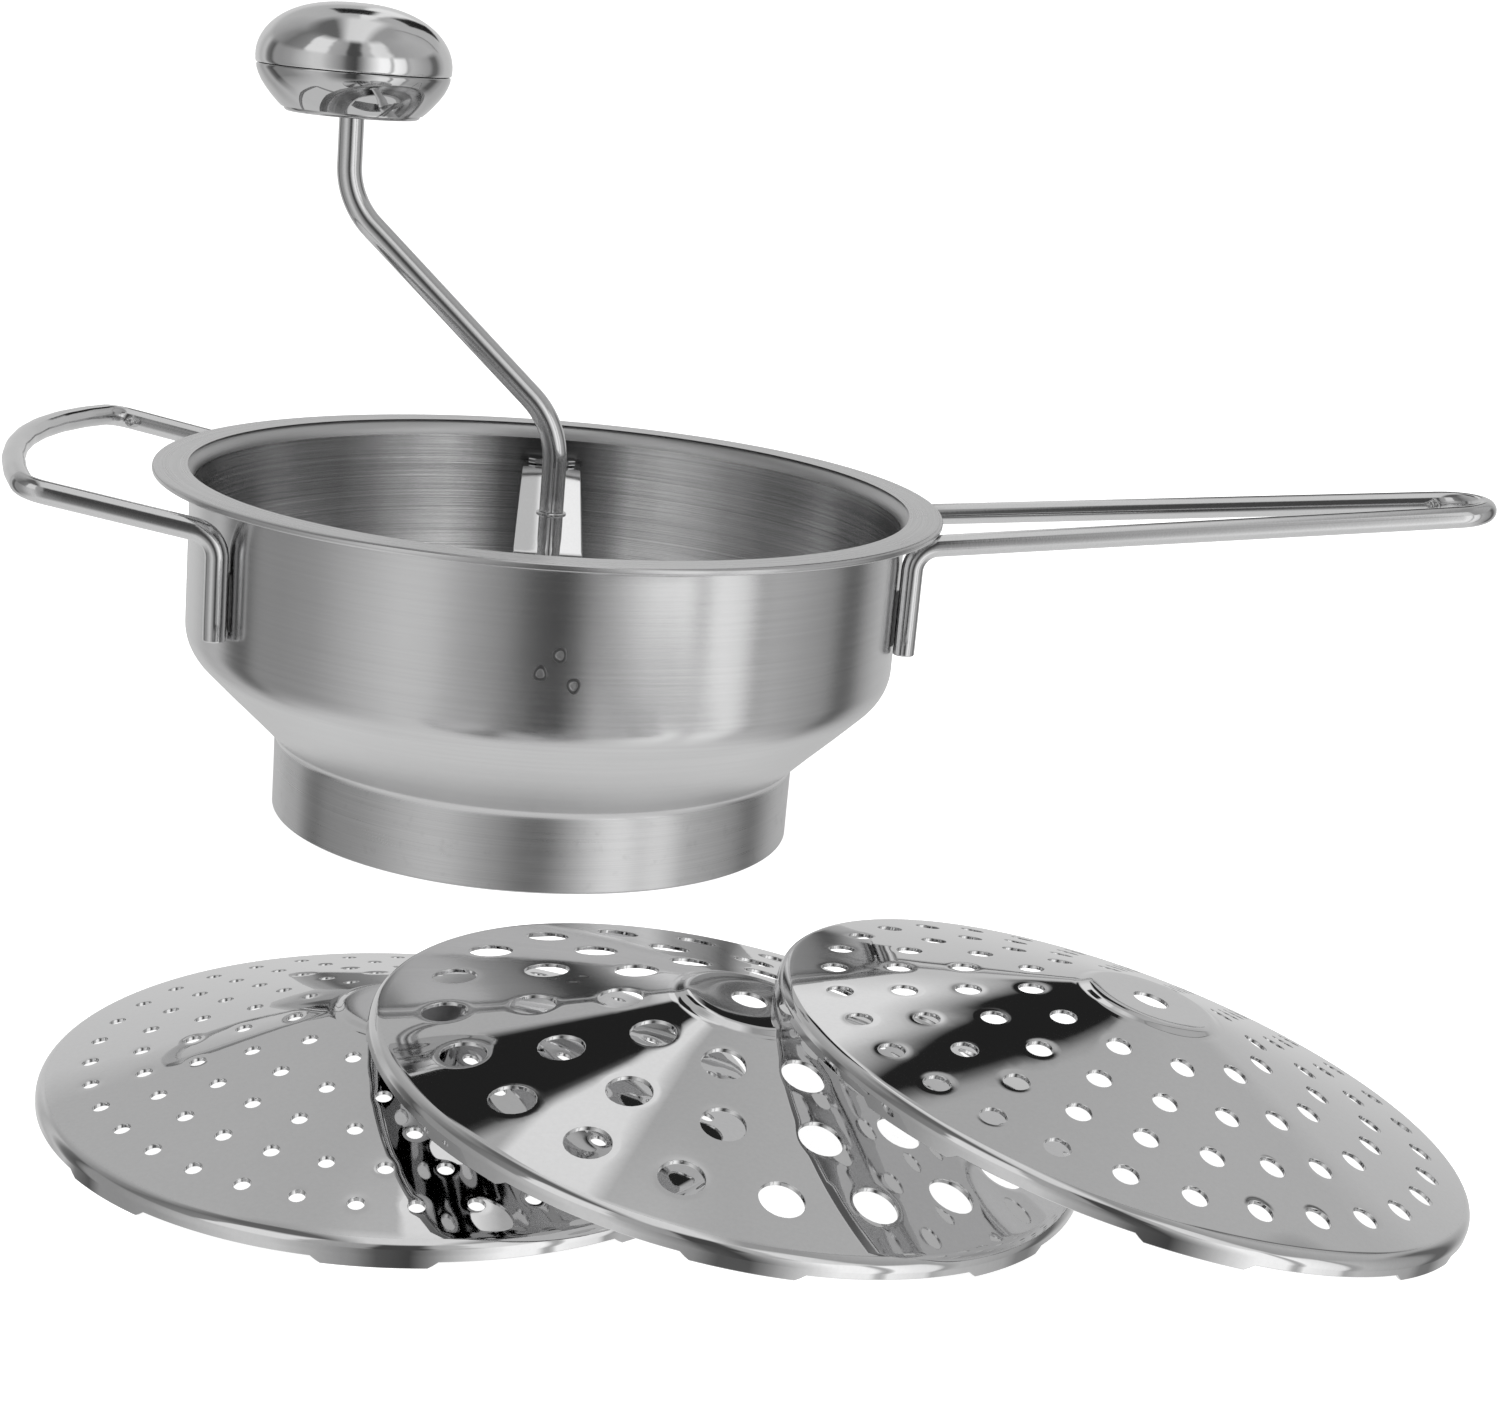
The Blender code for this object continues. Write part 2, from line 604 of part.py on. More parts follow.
def seen_from(points, here, there):
    """Points of one frame's space, in another frame's space."""
    matrix = np.array(there.inverted() @ here)
    return points @ matrix[:3, :3].T + matrix[:3, 3]


def clears(upper_pose, lower_pose):
    """Whether a disc at one pose lies over a disc at another with a gap all round."""
    gap = 1.5 * GAP
    feet = seen_from(disc_samples(False), upper_pose, lower_pose)
    reach = np.hypot(feet[:, 0], feet[:, 1])
    over = reach < DISC_RADIUS
    if (feet[over, 2] < top_height(reach[over]) + gap).any():
        return False
    crown = seen_from(disc_samples(True), lower_pose, upper_pose)
    reach = np.hypot(crown[:, 0], crown[:, 1])
    under = reach < DISC_RADIUS - DISC_SHEET
    return not (crown[under, 2] > top_height(reach[under]) - DISC_SHEET - gap).any()


def leaning_pose(place_at, lower_pose, lower_at):
    """A disc's pose with its far foot on the floor and the near side resting on another disc."""
    centre = Vector((*place_at, 0))
    way = (centre - Vector((*lower_at, 0))).normalized()
    foot = centre + way * DISC_RADIUS
    axis = Vector((0, 0, 1)).cross(way)
    flat, steep = 0.0, math.radians(25)
    for _ in range(24):
        tilt = (flat + steep) / 2
        turn = Matrix.Rotation(tilt, 4, axis)
        pose = Matrix.Translation(foot) @ turn @ Matrix.Translation(-way * DISC_RADIUS)
        if clears(pose, lower_pose):
            steep = tilt
        else:
            flat = tilt
    turn = Matrix.Rotation(steep, 4, axis)
    return Matrix.Translation(foot) @ turn @ Matrix.Translation(-way * DISC_RADIUS)


def disc_poses():
    """Where each disc lies: the first flat, each later one leaning on the one before."""
    poses = {}
    lower_pose = lower_at = None
    for name, (x, y) in DISC_PLACES.items():
        place_at = (MILL_X + x, MILL_Y + y)
        if lower_pose is None:
            pose = Matrix.Translation((*place_at, 0))
        else:
            pose = leaning_pose(place_at, lower_pose, lower_at)
        poses[name] = lower_pose = pose
        lower_at = place_at
    return poses


def disc(name, pose):
    """A pierced cone with a raised flat hub and a skirt on eight feet."""
    under = [(r - (DISC_SHEET if r > DISC_HUB_RADIUS * 2 else 0), z - DISC_SHEET)
             for r, z in DISC_TOP[:-1]]
    under[-1] = (DISC_RADIUS - DISC_SHEET, DISC_TOP[-2][1])
    under.append((DISC_RADIUS - DISC_SHEET, 0))
    obj = turned(name, DISC_TOP + under[::-1], MIRROR, DISC_SEGMENTS)
    first, spacing, counts, radius, sides = DISC_HOLES[name]
    spots = []
    for k, count in enumerate(counts):
        for i in range(count):
            angle = 2 * math.pi * i / count + math.pi / DISC_SEGMENTS
            reach = first + k * spacing
            spots.append((reach * math.cos(angle), reach * math.sin(angle), 10 * MM))
    holes = cutter(name + "_holes", cylinders(name + "_holes", spots, radius, 40 * MM, sides), obj)
    cut(obj, holes)
    work = bmesh.new()
    for i in range(DISC_TABS):
        turn = Matrix.Rotation(2 * math.pi * (i + 0.5) / DISC_TABS, 4, "Z")
        move = Matrix.Translation((DISC_RADIUS, 0, 0))
        shape = Matrix.Diagonal((12 * MM, DISC_TAB_GAP, 2 * DISC_TAB_HEIGHT, 1))
        bmesh.ops.create_cube(work, size=1, matrix=turn @ move @ shape)
    mesh = bpy.data.meshes.new(name + "_skirt_gaps")
    work.to_mesh(mesh)
    work.free()
    cut(obj, cutter(name + "_skirt_gaps", mesh, obj))
    obj.matrix_world = pose


def main():
    bowl = empty("bowl_axis", MILL)
    bowl_shell(bowl)
    long_handle(bowl)
    loop_handle(bowl)
    rear = math.radians(90) + BAR_TURN
    lug("front_lug", bowl, rear + math.pi)
    lug("rear_lug", bowl, rear)
    bar_set(empty("bar_axis", MILL))
    crank = empty("crank_axis", MILL)
    crank_set(crank)
    knob_set(empty("knob_axis", MILL + Vector((-CRANK_THROW, 0, 0))), crank)
    for name, pose in disc_poses().items():
        disc(name, pose)


main()
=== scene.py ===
"""Looks for the food mill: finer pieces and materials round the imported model."""

import math

import bmesh
import bpy
import numpy as np
from mathutils import Euler, Matrix, Quaternion, Vector, geometry

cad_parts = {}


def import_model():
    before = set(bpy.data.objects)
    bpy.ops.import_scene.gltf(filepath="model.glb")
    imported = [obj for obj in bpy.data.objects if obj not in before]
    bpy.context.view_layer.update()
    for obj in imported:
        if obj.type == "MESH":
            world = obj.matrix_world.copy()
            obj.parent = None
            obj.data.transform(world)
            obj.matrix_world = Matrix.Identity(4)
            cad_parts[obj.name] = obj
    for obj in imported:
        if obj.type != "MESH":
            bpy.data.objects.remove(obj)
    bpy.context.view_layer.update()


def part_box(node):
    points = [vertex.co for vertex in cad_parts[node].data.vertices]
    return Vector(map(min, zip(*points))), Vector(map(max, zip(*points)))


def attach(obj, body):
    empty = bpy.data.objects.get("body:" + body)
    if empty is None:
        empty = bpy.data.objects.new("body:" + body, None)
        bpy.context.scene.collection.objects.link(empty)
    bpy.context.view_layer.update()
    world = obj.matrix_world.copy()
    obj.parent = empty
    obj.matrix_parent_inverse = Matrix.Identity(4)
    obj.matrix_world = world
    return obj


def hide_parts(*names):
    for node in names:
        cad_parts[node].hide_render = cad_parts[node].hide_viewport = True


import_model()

MM = 0.001
LOW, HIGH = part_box("bowl_shell")
MILL = Vector(((LOW.x + HIGH.x) / 2, (LOW.y + HIGH.y) / 2, HIGH.z))

# The solids' own sizes, in millimetres and radians; heights are from the rim's top face
GAP = 0.3                         # air left between neighbouring solids
RIM, WALL, SHEET = 104.0, 94.4, 1.0
SHOULDER, SHOULDER_BEND = -41.5, 12.0
SEAT = -69.5                      # where a disc fitted into the bowl would stand
WIRE, HANDLE_DROP = 2.9, 4.9
BAR_TURN = math.radians(1.0)
BAR_END, BAR_MIDDLE, BAR_SHEET = -10.6, -22.3, 1.5
LUG_AZIMUTHS = (("front", -math.pi / 2 + BAR_TURN), ("rear", math.pi / 2 + BAR_TURN))
ROD, CRANK_THROW, PIN_TOP = 3.2, 57.5, 111.8
WASHER_BORE, WASHER_RADIUS = 3.3, 9.0
HUB_TOP, HUB_END = -43.0, -55.5
# The discs' sizes; heights are from the feet of the skirt
DISC, EDGE, SKIRT, TIN = 71.5, 2.6, 5.0, 0.8
SLOPE = math.radians(15)
DISC_HUB, BORE = 16.0, 3.6


# ---------------------------------------------------------------- materials

class Nodes:
    """A short way to write a node tree."""

    def __init__(self, tree):
        self.tree = tree
        tree.nodes.clear()

    def add(self, kind, inputs=None, **settings):
        node = self.tree.nodes.new(kind)
        for key, value in settings.items():
            setattr(node, key, value)
        for key, value in (inputs or {}).items():
            self.put(node, key, value)
        return node

    def put(self, node, key, value):
        socket = node.inputs[key]
        if isinstance(value, bpy.types.NodeSocket):
            self.tree.links.new(value, socket)
        else:
            socket.default_value = value

    def math(self, operation, a, b=0.0, c=0.0, clamp=False):
        node = self.add("ShaderNodeMath", {0: a, 1: b, 2: c}, operation=operation)
        node.use_clamp = clamp
        return node.outputs[0]

    def noise(self, vector, scale, detail=2.0, roughness=0.5):
        node = self.add("ShaderNodeTexNoise", {"Vector": vector, "Scale": scale,
                                               "Detail": detail, "Roughness": roughness})
        return node.outputs["Fac"]

    def ramp(self, fac, stops):
        node = self.add("ShaderNodeValToRGB", {"Fac": fac})
        ramp = node.color_ramp
        while len(ramp.elements) < len(stops):
            ramp.elements.new(1.0)
        for element, (place, value) in zip(ramp.elements, stops):
            element.position = place
            element.color = (value, value, value, 1)
        return node.outputs["Color"]

    def spread(self, fac, low, high):
        """A 0 to 1 value, spread from low to high."""
        return self.math("MULTIPLY_ADD", fac, high - low, low)


def polar(nodes):
    """Place of a point, and its angle from the front, radius and height about the axis."""
    place = nodes.add("ShaderNodeTexCoord").outputs["Object"]
    split = nodes.add("ShaderNodeSeparateXYZ", {0: place}).outputs
    angle = nodes.math("ARCTAN2", split["X"], nodes.math("MULTIPLY", split["Y"], -1.0))
    square = nodes.math("MULTIPLY", split["X"], split["X"])
    radius = nodes.math("SQRT", nodes.math("MULTIPLY_ADD", split["Y"], split["Y"], square))
    return place, angle, radius, split["Z"]


def turned_lines(nodes, angle, radius, height, fine, along):
    """Noise drawn out into lines that run round the axis."""
    across = nodes.math("MULTIPLY", nodes.math("ADD", radius, height), fine)
    other = nodes.math("MULTIPLY", nodes.math("SUBTRACT", radius, height), fine)
    round_it = nodes.math("MULTIPLY", angle, along)
    return nodes.add("ShaderNodeCombineXYZ", {0: round_it, 1: across, 2: other}).outputs[0]


def metal(name, shade, roughness, kind, bump=0.1, anisotropy=0.0, grain=900.0, streak=2.5,
          mottle=0.02, scuffs=0.0, wave=0.0, painted_fan=(), lined=0.0):
    """Stainless steel. kind says how its fine lines run: round or none.

    lined is how far the lines show as light and dark. fan paints light and dark bands round the
    axis into the colour: a painted highlight and painted shade that stand in for the reflections
    in a spun face. It is given as (degrees, shade), from the front round by the right, and again
    from the back by the left.
    """
    material = bpy.data.materials.new(name)
    material.use_nodes = True
    n = Nodes(material.node_tree)
    place, angle, radius, height = polar(n)
    if kind == "round":
        vector = turned_lines(n, angle, radius, height, grain, streak)
        fine = n.noise(vector, 1.0, 3.0, 0.6)
        wide = turned_lines(n, angle, radius, height, grain / 7, streak / 2)
        lines = n.math("MULTIPLY_ADD", n.noise(wide, 1.0, 1.0), 0.5, n.math("MULTIPLY", fine, 0.5))
    else:
        fine = lines = n.noise(place, grain, 2.0, 0.5)
    cloud = n.noise(place, 38.0, 3.0, 0.6)
    fleck = n.noise(place, 260.0, 2.0, 0.7)
    marks = n.ramp(fleck, [(0.0, 0.0), (0.60, 0.0), (0.72, 1.0), (1.0, 1.0)])
    tone = n.spread(lines, 1 - mottle * 2, 1 + mottle * 2)
    tone = n.math("MULTIPLY", tone, n.spread(fine, 1 - lined, 1 + lined))
    tone = n.math("MULTIPLY", tone, n.spread(cloud, 1 - mottle, 1 + mottle))
    tone = n.math("MULTIPLY", tone, n.spread(marks, 1.0, 1.0 - scuffs))
    # Painted light: bands of highlight and shade round the axis, painted into the colour
    if painted_fan:
        half = n.math("FRACT", n.math("MULTIPLY_ADD", angle, 1 / math.pi, 1.0))
        painted_spokes = n.ramp(half, [(degrees / 180, value / 2) for degrees, value in painted_fan])
        tone = n.math("MULTIPLY", tone, n.math("MULTIPLY", painted_spokes, 2.0))
    grey = n.math("MULTIPLY", tone, shade)
    colour = n.add("ShaderNodeCombineColor", {0: grey, 1: grey, 2: n.math("MULTIPLY", grey, 1.004)})
    rough = n.math("MULTIPLY", n.spread(lines, 0.75, 1.25), roughness)
    rough = n.math("MULTIPLY", rough, n.spread(cloud, 0.8, 1.2))
    rough = n.math("ADD", rough, n.math("MULTIPLY", marks, scuffs * 0.5), clamp=True)
    shader = n.add("ShaderNodeBsdfPrincipled", {"Base Color": colour.outputs[0], "Metallic": 1.0,
                                                "Roughness": rough})
    shader.distribution = "GGX"
    normal = None
    if wave:
        swell = n.noise(place, 26.0, 1.0)
        normal = n.add("ShaderNodeBump", {"Height": swell, "Strength": wave,
                                          "Distance": 0.002}).outputs[0]
    if bump:
        node = n.add("ShaderNodeBump", {"Height": lines, "Strength": bump, "Distance": 0.0002})
        if normal:
            n.put(node, "Normal", normal)
        normal = node.outputs[0]
    if normal:
        n.put(shader, "Normal", normal)
    if anisotropy:
        n.put(shader, "Anisotropic", anisotropy)
        n.put(shader, "Anisotropic Rotation", 0.25)
        tangent = n.add("ShaderNodeTangent", direction_type="RADIAL", axis="Z")
        n.put(shader, "Tangent", tangent.outputs[0])
    out = n.add("ShaderNodeOutputMaterial")
    n.put(out, "Surface", shader.outputs[0])
    return material


OUTSIDE = metal("satin_outside", 0.62, 0.20, "round", bump=0.10, anisotropy=0.75, grain=5200.0,
                streak=2.2, mottle=0.05)
# Painted highlight and painted shade for the inside wall, as (degrees, shade): bright bands for
# reflected studio panels, dark ones front and back for the dark reflection round the bar
PAINTED_SPOKES = ((0, 0.16), (5, 0.15), (10, 0.36), (16, 1.2), (20, 1.5), (25, 1.25), (28, 1.0), (35, 0.66),
          (42, 0.58), (49, 0.78), (57, 1.1), (66, 1.25), (78, 1.4), (95, 1.4), (108, 1.35),
          (120, 1.38), (130, 1.0), (138, 0.74), (147, 0.8), (154, 1.1), (160, 1.45), (166, 1.5),
          (170, 0.7), (175, 0.28), (180, 0.16))
INSIDE = metal("spun_inside_painted_sheen", 0.62, 0.24, "round", bump=0.65, anisotropy=0.5, grain=1900.0,
               streak=0.8, mottle=0.08, painted_fan=PAINTED_SPOKES, lined=0.6)
ROLL = metal("spun_roll", 0.60, 0.42, "round", bump=0.3, anisotropy=0.3, grain=1900.0, streak=0.8,
             mottle=0.05)
COLLAR = metal("scuffed_collar", 0.60, 0.30, "round", bump=0.07, anisotropy=0.6, grain=3600.0,
               streak=2.0, mottle=0.06, scuffs=0.08, lined=0.12)
RIM_STEEL = metal("satin_rim", 0.62, 0.26, "round", bump=0.14, anisotropy=0.3, grain=2600.0,
                  streak=1.2, mottle=0.05, lined=0.3)
POLISHED = metal("polished_wire", 0.62, 0.10, "none", bump=0.03, grain=1800.0, mottle=0.03)
# Painted highlight: the wire's polished steel made lighter, so the bar's and lugs' faces show a
# brighter reflection
STRIP_PAINTED_SHEEN = metal("polished_strip_painted_sheen", 0.86, 0.08, "none", bump=0.02, grain=1500.0, mottle=0.03)
WELD = metal("weld_steel", 0.50, 0.2, "none", bump=0.5, grain=1400.0, mottle=0.1)
# Dark steel for the spot weld marks; on the leg welds it is a painted shade, standing in for the
# dark reflection of each leg and its shadow in the wall
MARK_AND_PAINTED_SHADE = metal("weld_mark_and_painted_shade_steel", 0.17, 0.35, "none", bump=0.2, grain=1400.0, mottle=0.1)
MIDDLE = metal("weld_middle_steel", 0.50, 0.32, "none", bump=0.2, grain=1400.0, mottle=0.1)
BLADE = metal("blade_satin", 0.58, 0.25, "none", bump=0.15, grain=2400.0, mottle=0.05)
CHROME = metal("knob_mirror", 0.72, 0.10, "none", bump=0.0, grain=900.0, mottle=0.01)
# Painted shade: the knob's chrome made darker for its under shell, standing in for the dark bowl it
# reflects
UNDER_PAINTED_SHADE = metal("knob_under_painted_shade_mirror", 0.54, 0.035, "none", bump=0.0, grain=900.0, mottle=0.01)
MIRROR = metal("disc_mirror", 0.70, 0.03, "none", bump=0.0, grain=1200.0, mottle=0.02, wave=0.03)
SPRING = metal("spring_wire", 0.52, 0.22, "none", bump=0.2, grain=2600.0, mottle=0.06)


# ---------------------------------------------------------------- mesh helpers

def show(name, data):
    """A new object in the scene."""
    obj = bpy.data.objects.new(name, data)
    bpy.context.scene.collection.objects.link(obj)
    return obj


def make(name, body, material, verts, faces, replaces=(), slot=None, at=None, turn=None,
         sharp=32.0, normals=None, extra=()):
    """A mesh piece in millimetres about the rim's centre, riding on a body."""
    mesh = bpy.data.meshes.new(name)
    mesh.from_pydata((np.asarray(verts, float) * MM).tolist(), [], [list(f) for f in faces])
    for item in (material, *extra):
        mesh.materials.append(item)
    mesh.shade_smooth()
    if normals is not None:
        mesh.normals_split_custom_set_from_vertices(np.asarray(normals, float).tolist())
    elif sharp:
        mesh.set_sharp_from_angle(angle=math.radians(sharp))
    obj = show(name, mesh)
    obj.location = MILL if at is None else at
    if turn is not None:
        obj.rotation_mode = "QUATERNION"
        obj.rotation_quaternion = turn
    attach(obj, body)
    if replaces:
        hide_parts(*replaces)
    return obj


def arc(cx, cz, radius, start, end, steps):
    angles = np.radians(np.linspace(start, end, steps + 1))
    return [(cx + radius * math.cos(a), cz + radius * math.sin(a)) for a in angles]


def band(base, sides):
    """Faces between a ring of verts that starts at base and the ring that follows it."""
    return [(base + j, base + (j + 1) % sides, base + sides + (j + 1) % sides, base + sides + j)
            for j in range(sides)]


def lathe(profile, segments, closed=True):
    """Turned verts and faces: the profile runs down the outer side, top to bottom."""
    points = np.array(profile, float)
    angles = np.arange(segments) * 2 * math.pi / segments
    verts = np.stack([np.outer(points[:, 0], np.cos(angles)), np.outer(points[:, 0], np.sin(angles)),
                      np.outer(points[:, 1], np.ones(segments))], axis=2).reshape(-1, 3)
    faces = []
    count = len(points)
    for i in range(count if closed else count - 1):
        k = (i + 1) % count
        for j in range(segments):
            m = (j + 1) % segments
            faces.append((i * segments + j, k * segments + j, k * segments + m, i * segments + m))
    return verts, faces


def turned(name, body, material, profile, segments=96, closed=True, slots=None, **more):
    """A turned piece. slots gives the material number of each profile stretch."""
    verts, faces = lathe(profile, segments, closed)
    obj = make(name, body, material, verts, faces, **more)
    if slots:
        for polygon in obj.data.polygons:
            polygon.material_index = slots[polygon.index // segments]
    work = bmesh.new()
    work.from_mesh(obj.data)
    bmesh.ops.remove_doubles(work, verts=work.verts, dist=1e-6)
    work.to_mesh(obj.data)
    work.free()
    return obj


def washer(name, body, material, bore, radius, top, bottom, edge=0.2, **more):
    profile = [(bore + edge, top), (radius - edge, top), (radius, top - edge),
               (radius, bottom + edge), (radius - edge, bottom), (bore + edge, bottom),
               (bore, bottom + edge), (bore, top - edge)]
    return turned(name, body, material, profile, 64, **more)


def bend_path(corners, bends, steps=14):
    """The path through these corners, each inner corner turned at its own bend radius."""
    corners = [Vector(c) for c in corners]
    path = [corners[0]]
    for before, corner, after, bend in zip(corners, corners[1:], corners[2:], bends):
        a = (before - corner).normalized()
        b = (after - corner).normalized()
        half = a.angle(b) / 2
        reach = bend / math.tan(half)
        centre = corner + (a + b).normalized() * bend / math.sin(half)
        first, last = corner + a * reach - centre, corner + b * reach - centre
        for i in range(steps + 1):
            path.append(centre + first.slerp(last, i / steps).normalized() * bend)
    path.append(corners[-1])
    return path


def sweep(path, section, up=(0, 0, 1), widths=None):
    """Verts and faces of a closed section swept along a path, with flat ends.

    The section's points are (across, up). widths scales the section at each path point.
    """
    path = [Vector(p) for p in path]
    count = len(path)
    tangents = []
    for i in range(count):
        before, after = path[max(0, i - 1)], path[min(count - 1, i + 1)]
        tangents.append((after - before).normalized())
    normal = Vector(up)
    normal = (normal - tangents[0] * normal.dot(tangents[0])).normalized()
    verts, faces = [], []
    sides = len(section)
    for i, (point, tangent) in enumerate(zip(path, tangents)):
        if i:
            turn = tangents[i - 1].rotation_difference(tangent)
            normal = turn @ normal
            normal = (normal - tangent * normal.dot(tangent)).normalized()
        side = tangent.cross(normal)
        wide, high = widths[i] if widths else (1, 1)
        for across, lift in section:
            verts.append(point + side * across * wide + normal * lift * high)
        if i:
            faces += band((i - 1) * sides, sides)
    faces.append(tuple(reversed(range(sides))))
    faces.append(tuple(range((count - 1) * sides, count * sides)))
    return verts, faces


def circle(radius, sides):
    angles = [2 * math.pi * i / sides for i in range(sides)]
    return [(radius * math.cos(a), radius * math.sin(a)) for a in angles]


def spaced(path, step):
    """The same path with points no further apart than this."""
    out = [Vector(path[0])]
    for p, q in zip(path, path[1:]):
        p, q = Vector(p), Vector(q)
        count = max(1, math.ceil((q - p).length / step))
        out += [p.lerp(q, (i + 1) / count) for i in range(count)]
    return out


def tube(name, body, material, path, radius, sides=28, round_end=0.5, step=6.0,
         up=(0.3, 0.2, 1), **more):
    """Round wire or rod along a path, with softly rounded cut ends."""
    path = spaced(path, step)
    first, last = (path[0] - path[1]).normalized(), (path[-1] - path[-2]).normalized()
    depth = [round_end * f for f in (0.0, 0.5, 0.87, 1.0)]
    width = [radius - round_end + round_end * math.sqrt(max(0.0, 1 - (d / round_end) ** 2))
             for d in depth]
    start = [(path[0] + first * (d - round_end), w) for d, w in zip(depth, width)]
    finish = [(path[-1] + last * (d - round_end), w) for d, w in zip(depth, width)]
    points = start[::-1] + [(p, radius) for p in path[1:-1]] + finish
    sizes = [(w / radius, w / radius) for _, w in points]
    verts, faces = sweep([p for p, _ in points], circle(radius, sides), up=up, widths=sizes)
    return make(name, body, material, verts, faces, sharp=50.0, **more)


def box_section(width, height, edge, steps=3):
    """A rectangle with rounded corners, as (across, up) points."""
    points = []
    for cx, cz, start in ((1, 1, 0), (-1, 1, 90), (-1, -1, 180), (1, -1, 270)):
        x, z = cx * (width / 2 - edge), cz * (height / 2 - edge)
        for i in range(steps + 1):
            angle = math.radians(start + 90 * i / steps)
            points.append((x + edge * math.cos(angle), z + edge * math.sin(angle)))
    return points


# ---------------------------------------------------------------- bowl

def bowl():
    """Rim, wall, shoulder, cone and collar, with its own finish inside, outside and below."""
    outside, rim, collar, inside, roll = range(5)
    fold = 3.2
    shoulder = (WALL - SHOULDER_BEND, SHOULDER)
    neck = (74.1, -72.25, 4.0)
    parts = [
        (rim, [(RIM - 9.0, -0.02), (RIM - 5.0, -0.06), (RIM - 1.2, 0.0)]),
        (rim, arc(RIM - 0.75, -0.75, 0.75, 90, 0, 5)[1:]),
        (rim, [(RIM, -1.2)]),
        (rim, arc(RIM - 0.4, -1.3, 0.4, 0, -90, 3)),
        (rim, [(RIM - 1.1, -1.7), (RIM - 1.3, -1.5), (RIM - 1.3, -1.05)]),
        (outside, arc(WALL + fold, -SHEET - fold, fold, 90, 180, 8)),
        (outside, [(WALL, -z) for z in (7, 12, 18, 24, 30, 36, -SHOULDER)]),
        (outside, arc(*shoulder, SHOULDER_BEND, 0, -45, 12)[1:]),
        (outside, [(84.0, -56.9), (78.0, -62.7), (72.0, -68.7)]),
        (outside, arc(*neck, 135, 166, 5)),
        (collar, arc(*neck, 172, 180, 1)),
        (collar, [(70.05, -76.0), (70.0, -82.0), (70.0, -88.0), (70.0, -90.9)]),
        (collar, arc(69.5, -90.8, 0.5, 0, -180, 6)),
        (collar, [(69.0, -88.0), (69.0, -80.0), (69.1, -73.0)]),
        (inside, [(69.6, -70.0), (70.6, -68.8), (78.0, -61.3), (84.0, -55.4)]),
        (inside, arc(*shoulder, SHOULDER_BEND - SHEET, -45, 0, 10)),
        (inside, [(WALL - SHEET, -z) for z in (36, 30, 24, 18, 12, 8)]),
        (roll, arc(WALL + fold, -SHEET - fold, fold + SHEET, 180, 100, 10)),
    ]
    profile, slots = [], []
    for number, points in parts:
        profile += points
        slots += [number] * len(points)
    turned("bowl", "bowl", OUTSIDE, profile, 256, slots=slots,
           extra=(RIM_STEEL, COLLAR, INSIDE, ROLL), replaces=("bowl_shell",),
           slot="brushed_bowl_steel", sharp=40.0)


def weld_marks():
    """Three small raised rings on the wall at each lug, where its spot welds show outside."""
    # Across from the lug's middle and down from the rim
    spots = ((3.5, 23.7), (-0.8, 28.4), (7.2, 30.9))
    # Radius of each circle of a mark, and how far it stands off the wall
    rings = ((1.7, 0.01), (1.5, 0.09), (1.2, 0.09), (1.0, 0.02), (0.5, 0.03), (0.2, 0.05))
    sides, middle_ring = 24, 3
    mark_faces = (len(rings) - 1) * sides + 1
    for end, azimuth in LUG_AZIMUTHS:
        verts, faces = [], []
        for across, drop in spots:
            angle = azimuth + across / WALL
            out = Vector((math.cos(angle), math.sin(angle), 0))
            side = Vector((-math.sin(angle), math.cos(angle), 0))
            base = len(verts)
            for radius, lift in rings:
                for j in range(sides):
                    a = 2 * math.pi * j / sides
                    wobble = radius * (1 + 0.08 * math.sin(3 * a + drop))
                    verts.append(out * (WALL + lift) + side * wobble * math.cos(a)
                                 + Vector((0, 0, 1.15 * wobble * math.sin(a) - drop)))
            for i in range(len(rings) - 1):
                faces += band(base + i * sides, sides)
            last = base + (len(rings) - 1) * sides
            faces.append(tuple(range(last, last + sides)))
        marks = make(f"weld_marks_{end}", "bowl", MARK_AND_PAINTED_SHADE, verts, faces, slot="brushed_bowl_steel",
                     extra=(MIDDLE,))
        for polygon in marks.data.polygons:
            polygon.material_index = int(polygon.index % mark_faces >= middle_ring * sides)


# ---------------------------------------------------------------- handles

# climb, half spacing at the rim, half spacing further out, where that is, foot of the leg
LONG = (math.radians(6.7), 21.2, 11.0, 240.8, -35.0)
LOOP = (math.radians(10.2), 57.0, 57.9, 126.2, -36.0)
LOOP_BOW = 11.8
LEG_BEND = 7.0


def handle_point(handle, reach, side):
    return Vector((reach, side, -HANDLE_DROP + (reach - RIM) * math.tan(handle[0])))


def half_spacing(handle, reach):
    """Half the distance between a handle's two wires, this far from the bowl's axis."""
    _, root, tip, far, _ = handle
    return root + (tip - root) / (far - RIM) * (reach - RIM)


def handle_half(handle):
    """Corners of a handle's wire from one foot outwards."""
    leg = WALL + GAP + WIRE
    _, root, tip, far, foot = handle
    half = half_spacing(handle, math.sqrt(leg ** 2 - root ** 2))
    reach = math.sqrt(leg ** 2 - half ** 2)
    return [Vector((reach, half, foot)), handle_point(handle, reach, half),
            handle_point(handle, far, tip)]


